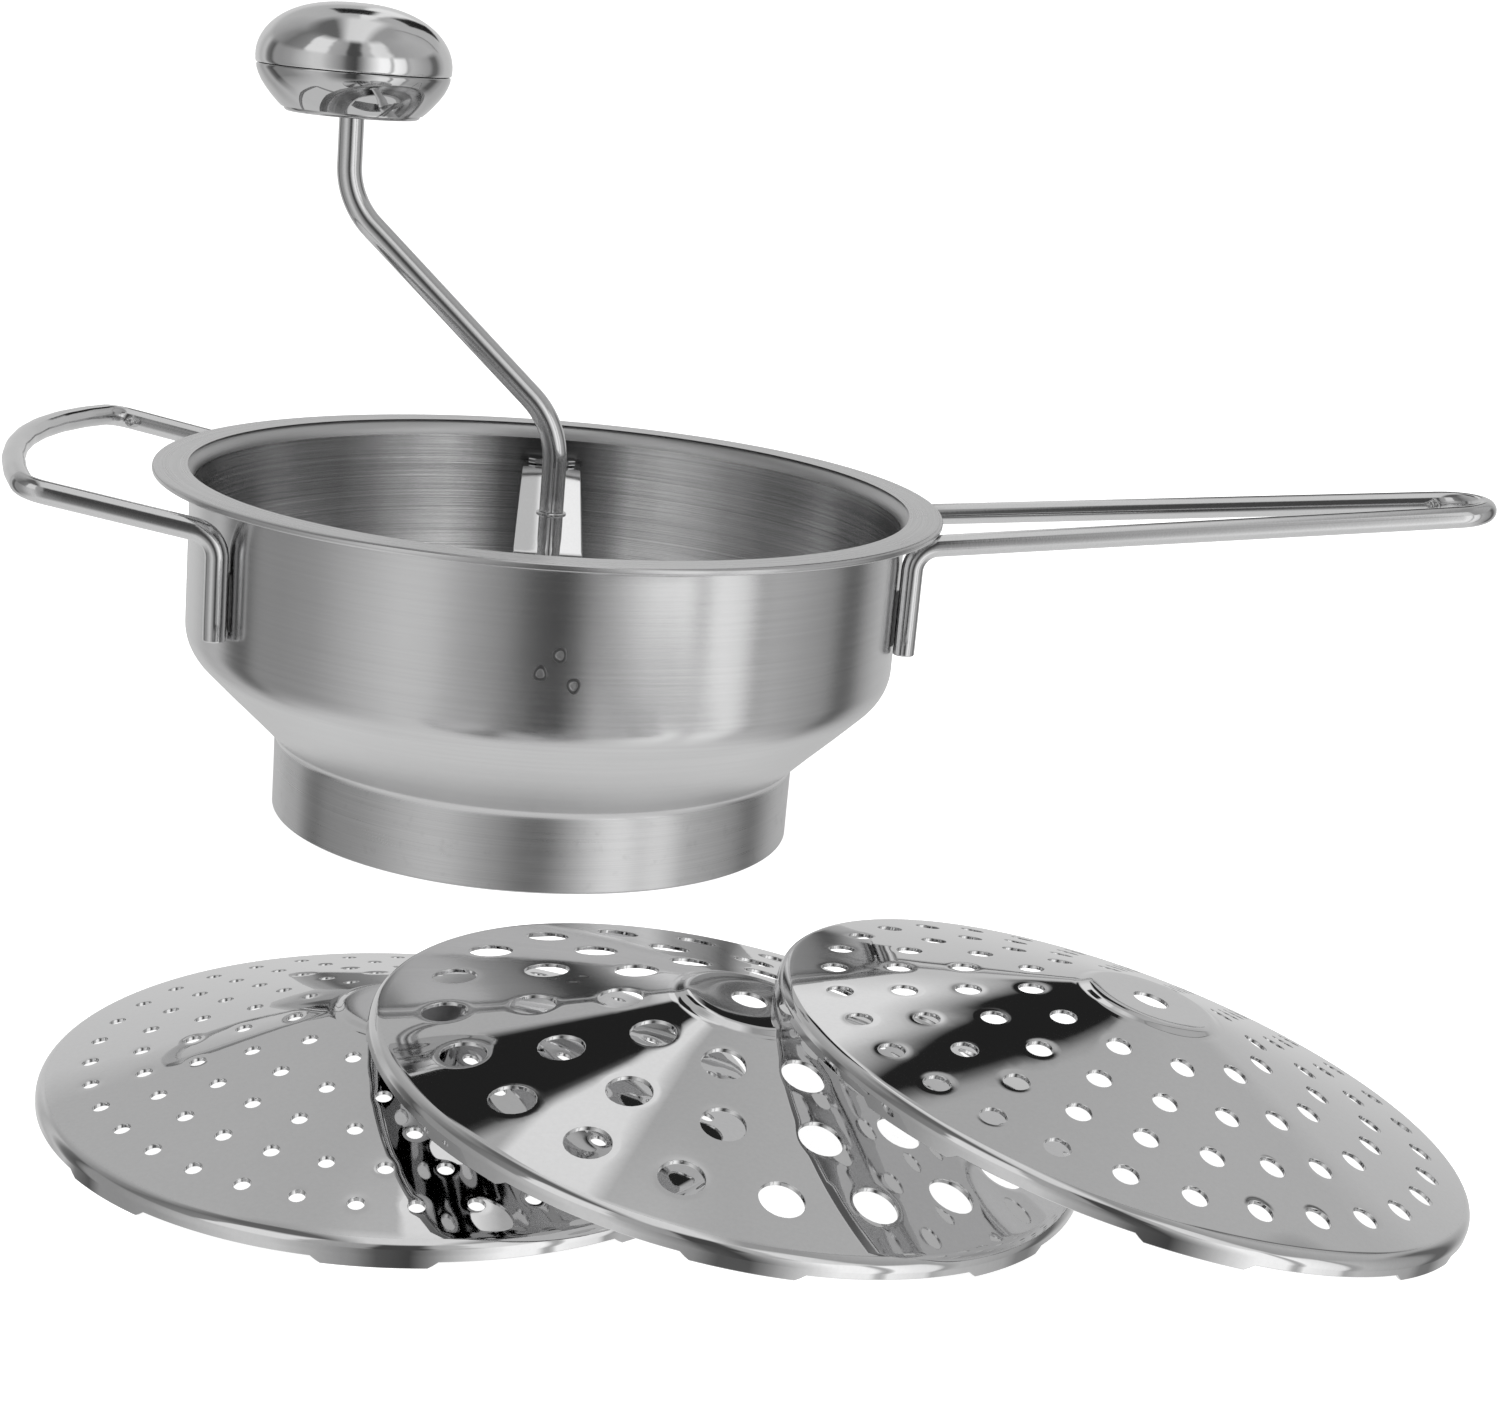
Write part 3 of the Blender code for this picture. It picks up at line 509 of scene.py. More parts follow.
def handles():
    _, root, tip, far, _ = LONG
    half = bend_path(handle_half(LONG), [LEG_BEND])[:-1]
    tilt = math.atan((root - tip) / (far - RIM))
    end = []
    steps = 32
    for i in range(steps + 1):
        angle = math.pi / 2 - tilt - (math.pi - 2 * tilt) * i / steps
        end.append(handle_point(LONG, far + tip * math.cos(angle), tip * math.sin(angle)))
    other = [Vector((p.x, -p.y, p.z)) for p in reversed(half)]
    tube("long_handle", "bowl", POLISHED, half + end + other, WIRE, up=(0, 1, 0), step=8.0,
         replaces=("long_handle_wire",), slot="polished_wire_steel")
    corners = handle_half(LOOP)
    bow = 8
    for i in range(1, bow):
        across = 1 - 2 * i / bow
        reach = LOOP[3] + LOOP_BOW * (1 - across ** 2)
        corners.append(handle_point(LOOP, reach, LOOP[2] * across))
    corners += [Vector((p.x, -p.y, p.z)) for p in reversed(corners[:3])]
    bends = [LEG_BEND] * 2 + [60.0] * (bow - 1) + [LEG_BEND] * 2
    path = [Vector((-p.x, -p.y, p.z)) for p in bend_path(corners, bends, 10)]
    tube("loop_handle", "bowl", POLISHED, path, WIRE, up=(0, 1, 0), step=6.0,
         replaces=("loop_handle_wire",), slot="polished_wire_steel")
    # The little beads where each wire's two ends are joined, on its inner side
    for kind, handle, way, reach in (("long", LONG, 1, far - 0.5), ("loop", LOOP, -1, 119.7)):
        spot = handle_point(handle, reach, half_spacing(handle, reach) - WIRE - 1.1)
        spot.x *= way
        bead(f"{kind}_joint", "bowl", spot, (f"{kind}_handle_joint_bead",))
        for end, flip in (("rear", 1), ("front", -1)):
            leg_weld(kind, end, way, flip, handle_half(handle)[0])


def bead(name, body, spot, nodes):
    """A small lumpy bead of weld, longer along the wire than it is high."""
    rings, sides = 15, 24
    verts, faces = [], []
    for i in range(rings + 1):
        tall = math.pi * i / rings
        for j in range(sides):
            a = 2 * math.pi * j / sides
            lump = (1.55 + 0.24 * math.sin(3 * a + 2 * tall) * math.sin(tall)
                    + 0.18 * math.sin(2 * a - 5 * tall) * math.sin(tall))
            out = Vector((-math.cos(tall) * 1.3, math.sin(tall) * math.cos(a),
                          math.sin(tall) * math.sin(a)))
            verts.append(spot + out * lump)
        if i:
            faces += band((i - 1) * sides, sides)
    make(name, body, WELD, verts, faces, replaces=nodes, slot="polished_wire_steel", sharp=60.0)


def leg_weld(kind, end, way, flip, foot):
    """The run of weld down both sides of a leg, where it touches the wall."""
    azimuth = math.atan2(flip * foot.y, way * foot.x)
    out = Vector((math.cos(azimuth), math.sin(azimuth), 0))
    side = Vector((-math.sin(azimuth), math.cos(azimuth), 0))
    verts, faces = [], []
    count, sides = 33, 12
    bottom, length = foot.z + 2.0, 15.0
    thick, half_gap = 0.34, 1.3
    for run in (1, -1):
        base = len(verts)
        for i in range(count):
            t = i / (count - 1)
            z = bottom + length * t
            size = ((thick + 0.05 * math.sin(t * 46) + 0.03 * math.sin(t * 23 + run))
                    * (math.sin(math.pi * t) ** 0.25 + 0.02))
            centre = out * (WALL + 0.15) + side * run * half_gap
            for j in range(sides):
                a = 2 * math.pi * j / sides
                verts.append(centre + out * size * math.cos(a) + side * size * math.sin(a)
                             + Vector((0, 0, z)))
            if i:
                faces += band(base + (i - 1) * sides, sides)
    # The dark mark steel is a painted shade here, for the leg's dark reflection in the wall beside
    # it
    make(f"{kind}_leg_weld_{end}", "bowl", MARK_AND_PAINTED_SHADE, verts, faces,
         replaces=(f"{kind}_handle_{end}_weld",), slot="polished_wire_steel", sharp=60.0)


# ---------------------------------------------------------------- bridge bar and lugs

def bridge():
    """The bar, a shallow V with a hole for the shaft, and the washer and spring under it."""
    half, ledge, flat, width = 90, 82, 14, 18.6
    corners = [(-half, 0, BAR_END), (-ledge, 0, BAR_END), (-flat, 0, BAR_MIDDLE),
               (flat, 0, BAR_MIDDLE), (ledge, 0, BAR_END), (half, 0, BAR_END)]
    path = spaced(bend_path(corners, [7.0, 26.0, 26.0, 7.0], 10), 5.0)
    path = [Vector((p.x, p.y, p.z - BAR_SHEET / 2)) for p in path]
    widths = [((19.2 - 1.9 * abs(p.x) / half) / width, 1) for p in path]
    verts, faces = sweep(path, box_section(width, BAR_SHEET, 0.35), widths=widths)
    spin = Quaternion((0, 0, 1), math.pi / 2 + BAR_TURN)
    # The bar takes the lightened polished steel, a painted highlight
    bar = make("bar", "bridge", STRIP_PAINTED_SHEEN, verts, faces, replaces=("bridge_bar",),
               slot="polished_wire_steel", turn=spin)
    drill(bar, Vector((0, 0, BAR_MIDDLE)), 3.7, 12)
    washer("washer_under_bar", "bridge", SPRING, WASHER_BORE, WASHER_RADIUS, -24.1, -25.0,
           replaces=("upper_spring_washer",), slot="spring_steel")
    wire, radius = 0.8, 6.6
    top, bottom = -25.2 - wire, -41.5 + wire
    coil = []
    turns, each = 4.5, 28
    for i in range(int(turns * each) + 1):
        t = i / (turns * each)
        a = 2 * math.pi * i / each
        ease = min(1.0, max(0.0, (t - 0.14) / 0.72))
        coil.append(Vector((radius * math.cos(a), radius * math.sin(a),
                            top + (bottom - top) * ease)))
    tube("spring", "bridge", SPRING, coil, wire, sides=14, round_end=0.2, step=4.0,
         replaces=("pressure_spring",), slot="spring_steel")


def drill(obj, centre, radius, depth):
    """Cuts a round hole through a piece, at a place in its own millimetres."""
    work = bmesh.new()
    bmesh.ops.create_cone(work, cap_ends=True, segments=48, radius1=radius * MM,
                          radius2=radius * MM, depth=depth * MM,
                          matrix=Matrix.Translation(centre * MM))
    mesh = bpy.data.meshes.new("drill")
    work.to_mesh(mesh)
    work.free()
    tool = show("drill", mesh)
    tool.matrix_world = obj.matrix_world
    modifier = obj.modifiers.new("drill", "BOOLEAN")
    modifier.object = tool
    modifier.solver = "EXACT"
    bpy.context.view_layer.update()
    graph = bpy.context.evaluated_depsgraph_get()
    cut = bpy.data.meshes.new_from_object(obj.evaluated_get(graph))
    obj.modifiers.clear()
    obj.data = cut
    bpy.data.objects.remove(tool)


def lugs():
    """Hooks of bent strip inside the wall: down the wall, and in over the bar's end."""
    width, plate, tab, sheet = 14.0, 24.0, 9.0, 1.5
    step, rounded = 1.5, 2.0
    back = WALL - SHEET - 0.8
    top = BAR_END + GAP + sheet
    middle = back - sheet / 2
    for end, azimuth in LUG_AZIMUTHS:
        corners = [(middle, 0, top - plate), (middle, 0, top - sheet / 2),
                   (back - tab, 0, top - sheet / 2)]
        path = spaced(bend_path(corners, [1.9], 8), step)
        widths = []
        for i in range(len(path)):
            from_tip = min(i, len(path) - 1 - i) * step
            trim = max(0.0, rounded - from_tip) / rounded
            widths.append((1 - 0.28 * (1 - math.sqrt(max(0.0, 1 - trim ** 2))), 1))
        verts, faces = sweep(path, box_section(width, sheet, 0.4), up=(1, 0, 0), widths=widths)
        # The lugs take the lightened polished steel, a painted highlight
        make(f"lug_{end}", "bowl", STRIP_PAINTED_SHEEN, verts, faces, replaces=(f"{end}_lug",),
             slot="polished_wire_steel", turn=Quaternion((0, 0, 1), azimuth))


# ---------------------------------------------------------------- crank

def crank():
    """The bent rod, the shaft it is let into, and what the two turn under the bar."""
    high, low = 68.9, 15.2
    corners = [(-CRANK_THROW, 0, PIN_TOP), (-CRANK_THROW, 0, high), (0, 0, low), (0, 0, -8.3)]
    tube("rod", "crank", POLISHED, bend_path(corners, [21.0, 23.0], 20), ROD, sides=40, step=5.0,
         up=(0, 1, 0), round_end=0.4, replaces=("crank_rod",), slot="polished_wire_steel")
    shaft = [(0, -8.6), (2.9, -8.6), (ROD, -8.9), (ROD, -15.5), (3.05, -17.5), (3.0, -20),
             (3.0, -57.6), (2.7, -58.6), (1.7, -59.7), (0, -60)]
    turned("shaft", "crank", POLISHED, shaft, 48, closed=False, replaces=("crank_shaft",),
           slot="polished_wire_steel")
    washer("joint_ring", "crank", POLISHED, 3.22, 3.95, -8.05, -9.15, edge=0.3,
           replaces=("shaft_joint_ring",), slot="polished_wire_steel")
    clip()
    washer("washer_on_hub", "crank", SPRING, WASHER_BORE, WASHER_RADIUS, -41.8, -42.7,
           replaces=("lower_spring_washer",), slot="spring_steel")
    hub = [(3.5, HUB_TOP), (5.1, HUB_TOP), (5.6, HUB_TOP - 0.5), (5.6, HUB_END + 0.7),
           (5.1, HUB_END), (3.5, HUB_END), (3.3, HUB_END + 0.2), (3.3, HUB_TOP - 0.2)]
    turned("hub", "crank", BLADE, hub, 64, replaces=("blade_hub",), slot="blade_steel")
    blade()


def clip():
    """An open spring clip: most of a flat ring, with a gap and three inner teeth."""
    verts, faces = [], []
    count = 60
    half_gap = 22
    top, bottom = -21.25, -22.0
    for i in range(count + 1):
        angle = math.radians(half_gap + (360 - 2 * half_gap) * i / count)
        tooth = 0.75 * max(0.0, math.cos(3 * (angle - math.pi))) ** 6
        inner, outer = 4.2 - tooth, 6.5 - 0.5 * abs(i / count * 2 - 1) ** 4
        for radius, z in ((inner, top), (outer, top), (outer, bottom), (inner, bottom)):
            verts.append((radius * math.cos(angle), radius * math.sin(angle), z))
        if i:
            faces += band((i - 1) * 4, 4)
    faces += [(3, 2, 1, 0), tuple(range(count * 4, count * 4 + 4))]
    make("clip", "crank", SPRING, verts, faces, replaces=("shaft_clip",), slot="spring_steel")


def blade_low(radius):
    """Height of the blade's low edge at this radius, just over a disc fitted into the bowl."""
    gap = 1.0
    return SEAT + SKIRT + (DISC - EDGE - max(radius, DISC_HUB)) * math.tan(SLOPE) + gap


def blade():
    """A plate twisted like a propeller, with softly rounded ends and edges."""
    along, across = 96, 16
    half_length, chord, sheet, rounding = 64.0, 30, 1.2, 0.42
    pitch = math.radians(34)
    reach, climb = chord / 2 * math.cos(pitch), chord * math.sin(pitch)

    def point(s, c):
        x = s * half_length
        twist = min(1.0, abs(x) / 26.0)
        twist = twist * twist * (3 - 2 * twist)
        narrow = math.sqrt(max(0.0, 1 - abs(s) ** 6 * 0.6))
        way = 1 if s > 0 else -1
        lift = climb * (1 + way * c) / 2 * twist
        return Vector((x, c * reach * narrow, blade_low(math.hypot(abs(x), 2.0)) + lift))

    grid = [[point(-1 + 2 * i / along, -1 + 2 * j / across) for j in range(across + 1)]
            for i in range(along + 1)]
    verts, faces = [], []
    rows = across + 1
    for level in (0, 1):
        for i in range(along + 1):
            for j in range(rows):
                a = grid[min(along, i + 1)][j] - grid[max(0, i - 1)][j]
                b = grid[i][min(across, j + 1)] - grid[i][max(0, j - 1)]
                normal = a.cross(b).normalized()
                soft = 0.0 if min(j, across - j, i, along - i) else rounding
                shift = sheet - soft if level else soft
                verts.append(grid[i][j] + normal * shift)
    size = (along + 1) * rows
    for i in range(along):
        for j in range(across):
            a, b = i * rows + j, (i + 1) * rows + j
            faces.append((a, a + 1, b + 1, b))
            faces.append((a + size, b + size, b + 1 + size, a + 1 + size))
    rim = list(range(rows)) + [i * rows + across for i in range(1, along + 1)]
    rim += [along * rows + j for j in range(across - 1, -1, -1)]
    rim += [i * rows for i in range(along - 1, 0, -1)]
    for a, b in zip(rim, rim[1:] + rim[:1]):
        faces.append((a, b, b + size, a + size))
    obj = make("press_blade", "crank", BLADE, verts, faces, replaces=("blade",),
               slot="blade_steel", turn=Quaternion((0, 0, 1), math.radians(35)), sharp=50.0)
    drill(obj, Vector((0, 0, blade_low(0))), 5.9, 16)


# ---------------------------------------------------------------- knob

def knob():
    """Two pressed shells, seamed at the widest part, with the bush and retainer on the pin."""
    at = MILL + Vector((-CRANK_THROW * MM, 0, 0))
    seam, top, base = 101.7, 118.3, 90.4
    widest, sheet = 24.8, 0.9
    outer = []
    steps = 28
    for i in range(steps + 1):
        a = math.radians(90 * (1 - i / steps))
        radius = widest * math.cos(a) ** 0.85
        outer.append((max(0.0, radius), seam + 2.0 + (top - seam - 2.0) * math.sin(a)))
    outer[0] = (0, top)
    outer += [(24.77, seam + 1.2), (24.7, seam + 0.55), (24.55, seam + 0.25), (24.1, seam + 0.12)]
    inner = [(max(0, r - sheet), z - sheet * max(0, (z - seam) / (top - seam)))
             for r, z in outer[:-2]]
    turned("knob_top", "knob", CHROME, outer + inner[::-1], 160, closed=False, at=at,
           replaces=("knob_upper_shell",), slot="knob_chrome", sharp=45.0)
    low = [(23.6, seam + 0.04), (24.3, seam - 0.02), (24.5, seam - 0.3), (24.4, seam - 1.2),
           (23.9, seam - 2.6), (23.1, seam - 4.2), (21.9, seam - 5.9), (20.5, seam - 7.6),
           (19.0, seam - 9.2), (17.9, seam - 10.2)]
    low += arc(16.2, base + 1.1, 1.1, 35, -90, 6)
    low += [(12.0, base), (9.0, base + 0.15), (6.6, base + 0.1), (5.9, base + 0.35)]
    hollow = [(5.9, base + 1.0), (9.0, base + 1.0), (15.6, base + 1.0), (17.2, base + 2.0),
              (20.9, seam - 6.0), (22.9, seam - 2.6), (23.2, seam - 0.4)]
    # The under shell takes the darker copy of the chrome, a painted shade
    turned("knob_under", "knob", UNDER_PAINTED_SHADE, low + hollow, 160, at=at,
           replaces=("knob_lower_shell",), slot="knob_chrome", sharp=45.0)
    bush_top = PIN_TOP - 2.6
    bush = [(3.8, bush_top), (5.1, bush_top), (5.4, bush_top - 0.3), (5.4, base + 0.5),
            (5.1, base + 0.2), (3.8, base + 0.2), (3.5, base + 0.5), (3.5, bush_top - 0.3)]
    turned("bush", "knob", SPRING, bush, 64, at=at, replaces=("knob_bush",), slot="spring_steel")
    keeper = [(3.5, -0.4), (4.6, -0.4), (5.6, -1.1), (5.6, -1.9), (5.2, -2.2), (3.7, -2.2),
              (3.4, -1.9), (3.4, -0.6)]
    keeper = [(r, PIN_TOP + z) for r, z in keeper]
    turned("retainer", "crank", SPRING, keeper, 64, at=at, replaces=("knob_retainer",),
           slot="spring_steel")


# ---------------------------------------------------------------- discs

LIP = 0.14                        # how far the rounded lip of a hole reaches round it
FEET, FOOT_RISE = 8, 1.2
# first ring radius, ring spacing, holes in each ring, hole radius, samples round a hole
HOLES = {
    "fine_disc": (22.4, 9.75, (12, 18, 24, 30, 36), 1.55, 20),
    "coarse_disc": (25.0, 16.4, (10, 14, 20), 4.3, 40),
    "medium_disc": (24.4, 12.3, (12, 18, 24, 30), 2.5, 28),
}


def disc_lie(name):
    """Where a disc's feet are centred and how it is turned, from its solid's own points."""
    solid = bpy.data.objects[name]
    points = np.array([tuple(solid.matrix_world @ v.co) for v in solid.data.vertices])
    points = np.unique(np.round(points, 7), axis=0)
    middle = points.mean(axis=0)
    axis = np.linalg.eigh(np.cov((points - middle).T))[1][:, 0]
    axis *= np.sign(axis[2])
    feet = middle + axis * ((points - middle) @ axis).min()
    return Vector(feet), Vector((0, 0, 1)).rotation_difference(Vector(axis))


def disc_outline():
    """Fine outline of a disc's top from its bore to the skirt's start."""
    edge_r, edge_z = DISC - EDGE, SKIRT - EDGE
    rise = 1.3
    slope_top = SKIRT + (edge_r - DISC_HUB) * math.tan(SLOPE)
    points = [(BORE, slope_top + 1.25), (8.0, slope_top + rise), (12.0, slope_top + rise)]
    for t in np.linspace(0, 1, 9)[1:]:
        ease = t * t * (3 - 2 * t)
        points.append((12.0 + 3.4 * t, slope_top + rise + (0.16 - rise) * ease))
    points.append((17.0, slope_top - 0.27))
    points += arc(edge_r, edge_z, EDGE, 90 - math.degrees(SLOPE), 0, 14)
    return np.array(points)


OUTLINE = disc_outline()


def disc(name):
    """A pierced mirror-bright cone, with the sheet drawn down a little round each hole."""
    first, spacing, counts, hole, samples = HOLES[name]
    centres = []
    for k, count in enumerate(counts):
        radius = first + k * spacing
        for i in range(count):
            angle = 2 * math.pi * i / count + math.pi / 30
            centres.append((radius * math.cos(angle), radius * math.sin(angle)))
    centres = np.array(centres)
    edge_in = DISC - EDGE * 0.72

    def nearest(points):
        """How far each point is from the middle of the nearest hole."""
        return np.min(np.hypot(points[:, None, 0] - centres[None, :, 0],
                               points[:, None, 1] - centres[None, :, 1]), axis=1)

    def height(points):
        radius = np.hypot(points[:, 0], points[:, 1])
        z = np.interp(radius, OUTLINE[:, 0], OUTLINE[:, 1])
        gap = nearest(points) - hole
        return z - 0.035 * np.exp(-(np.maximum(gap, 0) / 0.7) ** 1.5)

    def normal(points):
        step = 0.05
        dx = (height(points + [step, 0]) - height(points - [step, 0])) / (2 * step)
        dy = (height(points + [0, step]) - height(points - [0, step])) / (2 * step)
        out = np.stack([-dx, -dy, np.ones(len(points))], axis=1)
        return out / np.linalg.norm(out, axis=1)[:, None]

    # Flat layout: circles round the axis, circles round each hole, and the holes themselves
    lip = hole + LIP
    plan, edges, holes = [], [], []

    def ring(centre, radius, count, joined):
        base = len(plan)
        for j in range(count):
            a = 2 * math.pi * j / count
            plan.append((centre[0] + radius * math.cos(a), centre[1] + radius * math.sin(a)))
        if joined:
            edges.extend((base + j, base + (j + 1) % count) for j in range(count))
        return list(range(base, base + count))

    ring((0, 0), BORE + LIP, 48, True)
    ring((0, 0), edge_in, 240, True)
    for radius in (5.2, 7.5, 10.0, 12.0, 12.7, 13.4, 14.1, 14.8, 15.4, 16.2, 17.4):
        ring((0, 0), radius, int(48 + radius * 4), False)
    for centre in centres:
        holes.append(ring(centre, lip, samples, True))
    loose = []
    for radius in np.arange(18.6, edge_in - 0.6, 1.9 if hole < 2 else 2.4):
        count = int(2 * math.pi * radius / 2.2)
        a = 2 * math.pi * np.arange(count) / count + radius
        loose.append(np.stack([radius * np.cos(a), radius * np.sin(a)], axis=1))
    for reach in (0.35, 0.85, 1.5):
        a = 2 * math.pi * (np.arange(samples) + 0.5) / samples
        spread = np.stack([np.cos(a), np.sin(a)], axis=1) * (lip + reach)
        loose.append((centres[:, None, :] + spread[None, :, :]).reshape(-1, 2))
    loose = np.concatenate(loose)
    loose = loose[(nearest(loose) > lip + 0.2)
                  & (np.hypot(loose[:, 0], loose[:, 1]) < edge_in - 0.5)]
    plan.extend(map(tuple, loose))
    flat, _, tris, *_ = geometry.delaunay_2d_cdt([Vector(p) for p in plan], edges, [], 0, 1e-4)
    flat = np.array([tuple(v) for v in flat])
    tris = np.array(tris)
    middle = flat[tris].mean(axis=1)
    reach = np.hypot(middle[:, 0], middle[:, 1])
    tris = tris[(nearest(middle) > lip * 0.985) & (reach > BORE + 0.13) & (reach < edge_in)]
    ends = flat[tris]
    area = np.cross(ends[:, 1] - ends[:, 0], ends[:, 2] - ends[:, 0])
    tris[area < 0] = tris[area < 0][:, ::-1]

    verts, normals, faces = [], [], []

    def sheet(points, z, ups, triangles, flip):
        base = len(verts)
        verts.extend(np.column_stack([points, z]).tolist())
        normals.extend(ups.tolist())
        faces.extend((base + (t[::-1] if flip else t)).tolist() for t in triangles)

    ups = normal(flat)
    sheet(flat, height(flat), ups, tris, False)
    sheet(flat, height(flat) - TIN, -ups, tris, True)

    def wall(centre, radius, count):
        """The rounded lip and the wall of a hole."""
        # How far out from the hole, how far down, and how far the normal leans into the hole
        rows = ((LIP, 0.0, 0.0), (0.07, 0.02, 0.45), (0.02, 0.07, 0.85), (0.0, 0.15, 1.0),
                (0.0, TIN - 0.1, 1.0), (0.05, TIN, 0.6), (LIP, TIN, 0.0))
        base = len(verts)
        a = 2 * math.pi * np.arange(count) / count
        round_it = np.stack([np.cos(a), np.sin(a)], axis=1)
        rim = centre + round_it * (radius + LIP)
        rim_z, rim_up = height(rim), normal(rim)
        for out, drop, lean in rows:
            points = centre + round_it * (radius + out)
            inward = np.column_stack([-round_it, np.zeros(count)])
            up = rim_up if drop < TIN - 0.15 else -rim_up
            mixed = up * math.cos(lean * math.pi / 2) + inward * math.sin(lean * math.pi / 2)
            mixed /= np.linalg.norm(mixed, axis=1)[:, None]
            verts.extend(np.column_stack([points, rim_z - drop]).tolist())
            normals.extend(mixed.tolist())
        for i in range(len(rows) - 1):
            faces.extend(band(base + i * count, count))

    for centre in centres:
        wall(centre, hole, samples)
    wall(np.zeros(2), BORE, 48)

    # Rounded edge and skirt, whose foot steps up between the feet
    count = 480
    a = 2 * math.pi * np.arange(count) / count
    share = (a * FEET / (2 * math.pi)) % 1.0
    foot = FOOT_RISE * np.clip((0.322 - np.abs(share - 0.5)) / 0.012, 0, 1)
    start = float(np.interp(edge_in, OUTLINE[:, 0], OUTLINE[:, 1]))
    rows = [(edge_in, start - 0.002)] + [(r, z) for r, z in OUTLINE if r > edge_in]
    rows += [(DISC, 2.0), (DISC, 1.5)]

    def lean(r, z):
        """Which way the edge or skirt faces here, as (out, up)."""
        if z > SKIRT - EDGE:
            way = np.array([r - (DISC - EDGE), z - (SKIRT - EDGE)])
            return way / np.linalg.norm(way)
        return np.array([1.0, 0.0])

    base = len(verts)
    table = [(r, z + 0 * a, lean(r, z)) for r, z in rows]
    table += [(DISC, foot + 0.15, np.array([1.0, 0.0])), (DISC - 0.1, foot, np.array([0.5, -0.86])),
              (DISC - TIN + 0.1, foot, np.array([-0.5, -0.86])),
              (DISC - TIN, foot + 0.15, np.array([-1.0, 0.0])),
              (DISC - TIN, 2.2 + 0 * a, np.array([-1.0, 0.0]))]
    for r, z in reversed(rows[:-2]):
        way = lean(r, z)
        table.append((r - way[0] * TIN, z - way[1] * TIN + 0 * a, -way))
    for r, z, way in table:
        verts.extend(np.column_stack([r * np.cos(a), r * np.sin(a), z]).tolist())
        normals.extend(np.column_stack([way[0] * np.cos(a), way[0] * np.sin(a),
                                        way[1] + 0 * a]).tolist())
    for i in range(len(table) - 1):
        for j in range(count):
            m = (j + 1) % count
            low = base + i * count
            faces.append((low + j, low + count + j, low + count + m, low + m))
    place, turn = disc_lie(name)
    label = name.replace("_disc", "")
    make(f"{label}_plate", name, MIRROR, verts, faces, replaces=(name,),
         slot="mirror_disc_steel", at=place, turn=turn, normals=normals)


# ---------------------------------------------------------------- studio

def studio():
    scene = bpy.context.scene
    scene.view_settings.view_transform = "Standard"
    scene.view_settings.look = "None"
    # A pale floor that curves up into a wall all round, in metres
    floor_end, bend, segments = 2.6, 0.8, 64
    profile = [(0.5, 0.0), (1.0, 0.0), (2.0, 0.0), (floor_end, 0.0)]
    profile += arc(floor_end, bend, bend, -80, 0, 8)
    profile.append((floor_end + bend, 5.0))
    verts, faces = lathe(profile, segments, closed=False)
    faces.append(tuple(range(segments)))
    mesh = bpy.data.meshes.new("backdrop")
    mesh.from_pydata(verts.tolist(), [], faces)
    mesh.shade_smooth()
    floor = show("backdrop", mesh)
    material = bpy.data.materials.new("backdrop_paper")
    material.use_nodes = True
    n = Nodes(material.node_tree)
    place = n.add("ShaderNodeTexCoord").outputs["Object"]
    tone = n.spread(n.noise(place, 40.0, 3.0), 0.50, 0.54)
    colour = n.add("ShaderNodeCombineColor", {0: tone, 1: tone, 2: tone})
    shader = n.add("ShaderNodeBsdfPrincipled", {"Base Color": colour.outputs[0], "Roughness": 0.9,
                                                "Specular IOR Level": 0.1,
                                                "Emission Color": (1, 1, 1, 1),
                                                "Emission Strength": 0.85})
    out = n.add("ShaderNodeOutputMaterial")
    n.put(out, "Surface", shader.outputs[0])
    mesh.materials.append(material)
    floor.visible_glossy = False
    floor.visible_diffuse = False
    floor.visible_shadow = False
    world()
    lamp("key", (-0.5, -0.5, 1.6), (0, 0, 0), 1.4, 30.0)
    lamp("fill", (0.9, -1.0, 1.3), (0, 0, 0), 1.2, 18.0)


def lamp(name, place, target, size, power):
    data = bpy.data.lights.new(name, "AREA")
    data.shape = "DISK"
    data.size = size
    data.energy = power
    obj = show(name, data)
    obj.location = place
    way = Vector(target) - Vector(place)
    obj.rotation_mode = "QUATERNION"
    obj.rotation_quaternion = way.to_track_quat("-Z", "Y")
    obj.visible_glossy = False


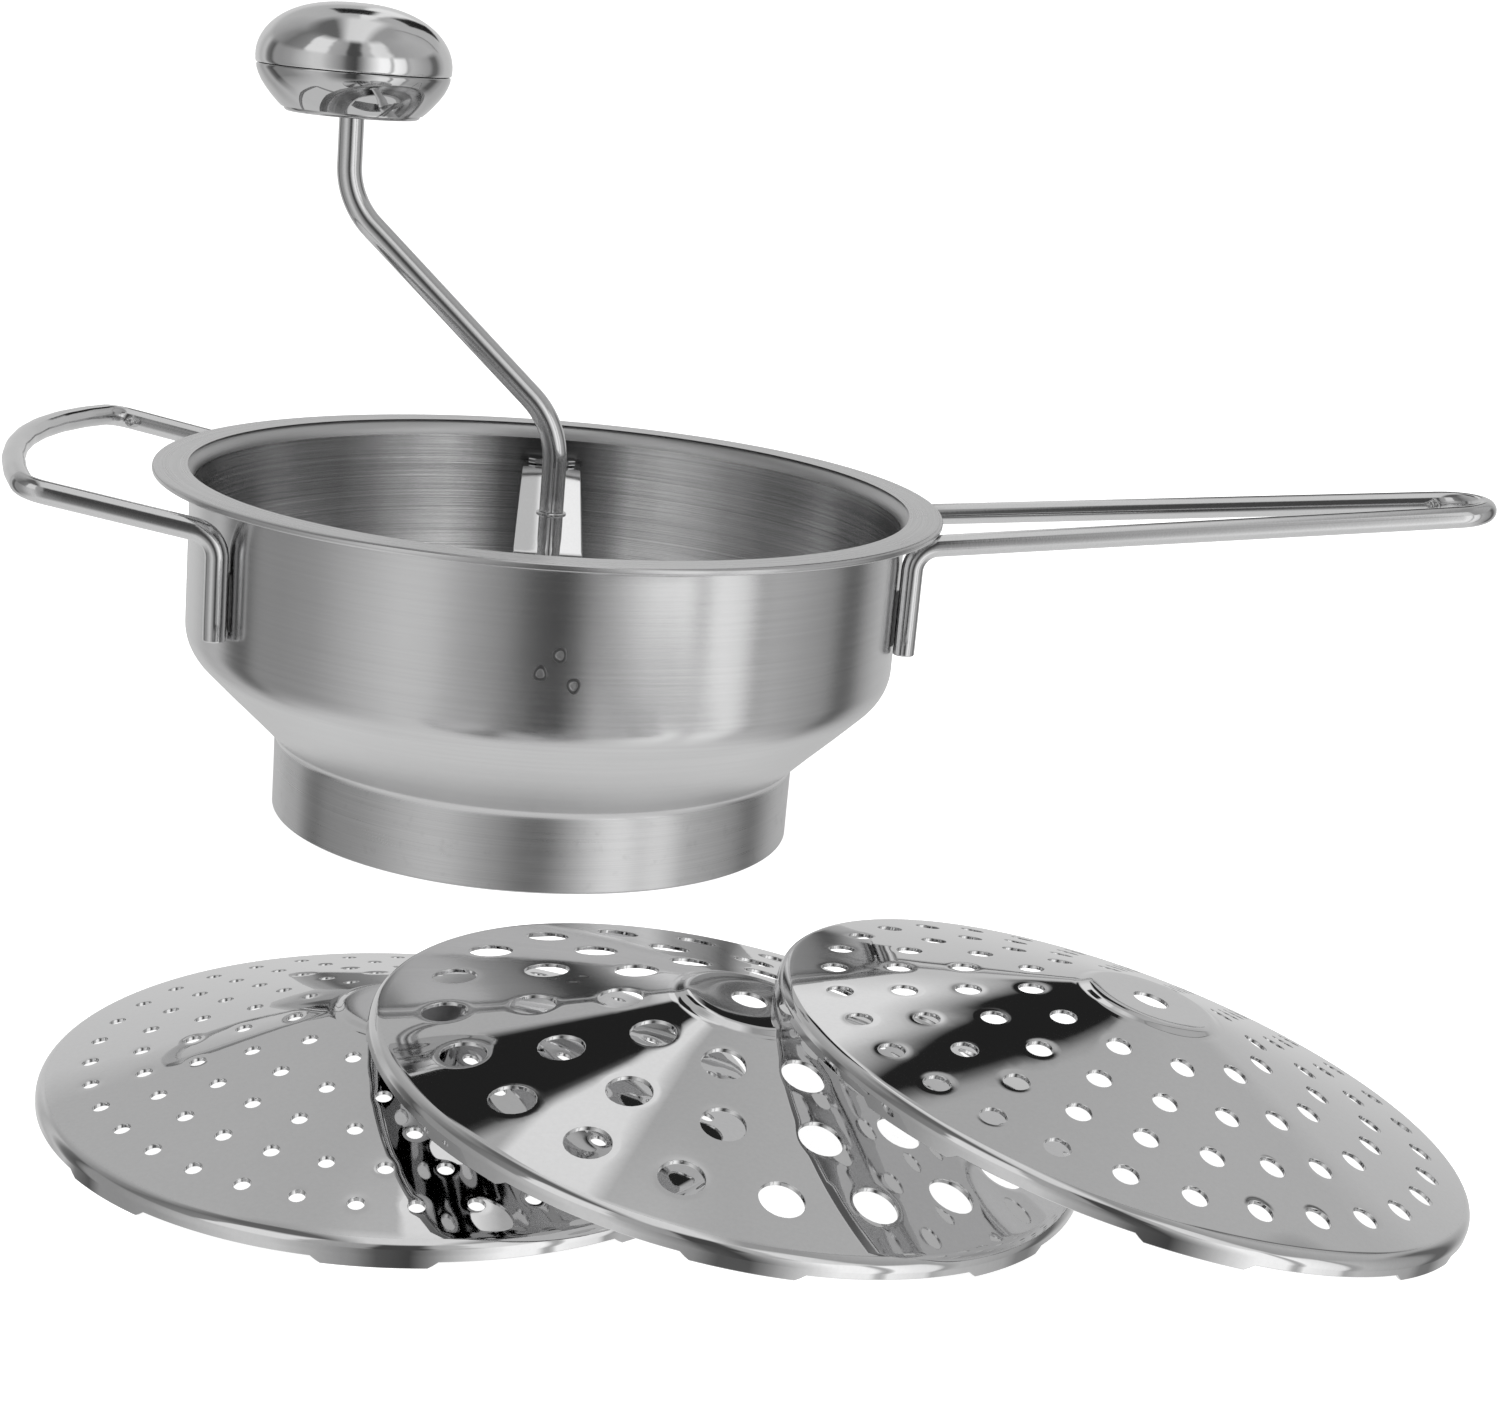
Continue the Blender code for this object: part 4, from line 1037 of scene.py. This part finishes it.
def world():
    """A studio of pale panels with dark gaps between them, as shiny steel sees it."""
    scene = bpy.context.scene
    scene.world = bpy.data.worlds.new("studio")
    scene.world.use_nodes = True
    n = Nodes(scene.world.node_tree)
    way = n.add("ShaderNodeTexCoord").outputs["Generated"]
    split = n.add("ShaderNodeSeparateXYZ", {0: way}).outputs
    # 0.5 is towards the camera, growing to the right; 0 and 1 are behind the mill
    angle = n.math("ARCTAN2", split["X"], n.math("MULTIPLY", split["Y"], -1.0))
    turn = n.math("MULTIPLY_ADD", angle, 1 / (2 * math.pi), 0.5)
    lift = n.math("MULTIPLY", n.math("ARCSINE", split["Z"]), 2 / math.pi)

    def stops(pairs):
        """(degrees to the right of the camera's side, shade) as ramp stops."""
        return [(0.5 + d / 360.0, v) for d, v in pairs]

    sides = n.ramp(turn, stops([
        (-180, 0.68), (-146, 0.70), (-134, 0.55), (-123, 0.66), (-115, 0.22), (-107, 0.12),
        (-101, 0.36), (-88, 0.36), (-74, 0.42), (-60, 0.6), (-45, 0.77), (-34, 0.76), (-25, 0.56),
        (-10, 0.32), (-3, 0.12), (7, 0.07), (13, 0.27), (28, 0.92), (36, 1.25), (47, 1.25),
        (49.5, 0.5), (51.5, 0.5), (53.5, 1.25), (68, 1.0), (70.5, 0.42), (76, 0.6), (104, 0.38),
        (111, 0.16), (118, 0.16), (127, 0.45), (138, 0.62), (180, 0.68)]))
    # The high panels' edges wander a little, as a real room's shapes do
    swirl = n.math("SUBTRACT", n.noise(way, 3.2, 2.0), 0.5)
    wander = n.math("MULTIPLY_ADD", swirl, 0.035, turn)
    upper = n.ramp(wander, stops([
        (-180, 0.95), (-177, 0.95), (-176, 0.52), (-150, 0.56), (-120, 0.42), (-90, 0.2), (-62, 0.3),
        (-58, 0.95), (-30, 0.95), (-26, 0.5), (-8, 0.4), (-4, 0.08), (12, 0.08), (17, 0.5),
        (26, 0.6), (30, 0.95), (50, 0.9), (56, 0.42), (90, 0.5), (116, 0.55), (133, 0.5),
        (134, 0.12), (135, 0.12), (136, 0.56), (172.5, 0.5), (173.5, 0.95), (180, 0.95)]))
    # Two dark gaps behind: one to the right, and one higher up, almost straight behind
    door = n.ramp(wander, stops([(-180, 0.0), (156, 0.0), (156.7, 1.0), (171, 1.0), (171.7, 0.0),
                                 (180, 0.0)]))
    gap = n.ramp(wander, stops([(-180, 1.0), (-167, 1.0), (-166.3, 0.0), (178.3, 0.0), (179, 1.0),
                                (180, 1.0)]))
    # lift runs from -1, straight down, to 1, straight up
    half_lift = n.math("MULTIPLY_ADD", lift, 0.5, 0.5)
    door = n.math("MULTIPLY", door, n.ramp(half_lift, [(0.0, 0.0), (0.60, 0.0), (0.608, 1.0),
                                                       (0.728, 1.0), (0.736, 0.0), (1.0, 0.0)]))
    gap = n.math("MULTIPLY", gap, n.ramp(half_lift, [(0.0, 0.0), (0.686, 0.0), (0.694, 1.0),
                                                     (0.765, 1.0), (0.773, 0.0), (1.0, 0.0)]))
    low = n.ramp(half_lift, [(0.0, 1.0), (0.22, 0.95), (0.34, 0.0), (1.0, 0.0)])
    high = n.ramp(half_lift, [(0.0, 0.0), (0.60, 0.0), (0.64, 1.0), (1.0, 1.0)])
    roof = n.ramp(half_lift, [(0.0, 0.0), (0.80, 0.0), (0.86, 1.0), (1.0, 1.0)])

    def mix(fac, a, b):
        """From a to b as fac goes from 0 to 1; 6, 7 and 2 are the node's colour sockets."""
        node = n.add("ShaderNodeMix", data_type="RGBA")
        n.put(node, 0, fac)
        n.put(node, 6, a)
        n.put(node, 7, b)
        return node.outputs[2]

    colour = mix(high, sides, upper)
    colour = mix(roof, colour, n.ramp(n.math("MULTIPLY_ADD", split["X"], 0.5, 0.5),
                                      [(0.0, 0.2), (0.39, 0.15), (0.46, 0.85), (0.58, 0.9),
                                       (0.64, 0.4), (1.0, 0.45)]))
    colour = mix(n.math("MAXIMUM", door, gap), colour, (0.02, 0.02, 0.02, 1))
    colour = mix(low, colour, (0.85, 0.85, 0.85, 1))
    back = n.add("ShaderNodeBackground", {"Color": colour, "Strength": 1.0})
    out = n.add("ShaderNodeOutputWorld")
    n.put(out, "Surface", back.outputs[0])


def camera():
    data = bpy.data.cameras.new("camera")
    data.sensor_width = 36.0
    data.lens = 62.52
    data.clip_end = 50
    obj = show("camera", data)
    obj.location = MILL + Vector((5.61, -685.65, 125.11)) * MM
    obj.rotation_euler = Euler([math.radians(a) for a in (74.9406, -5.0320, -3.0)], "XYZ")
    bpy.context.scene.camera = obj


bowl()
weld_marks()
handles()
bridge()
lugs()
crank()
knob()
for disc_name in HOLES:
    disc(disc_name)
studio()
camera()
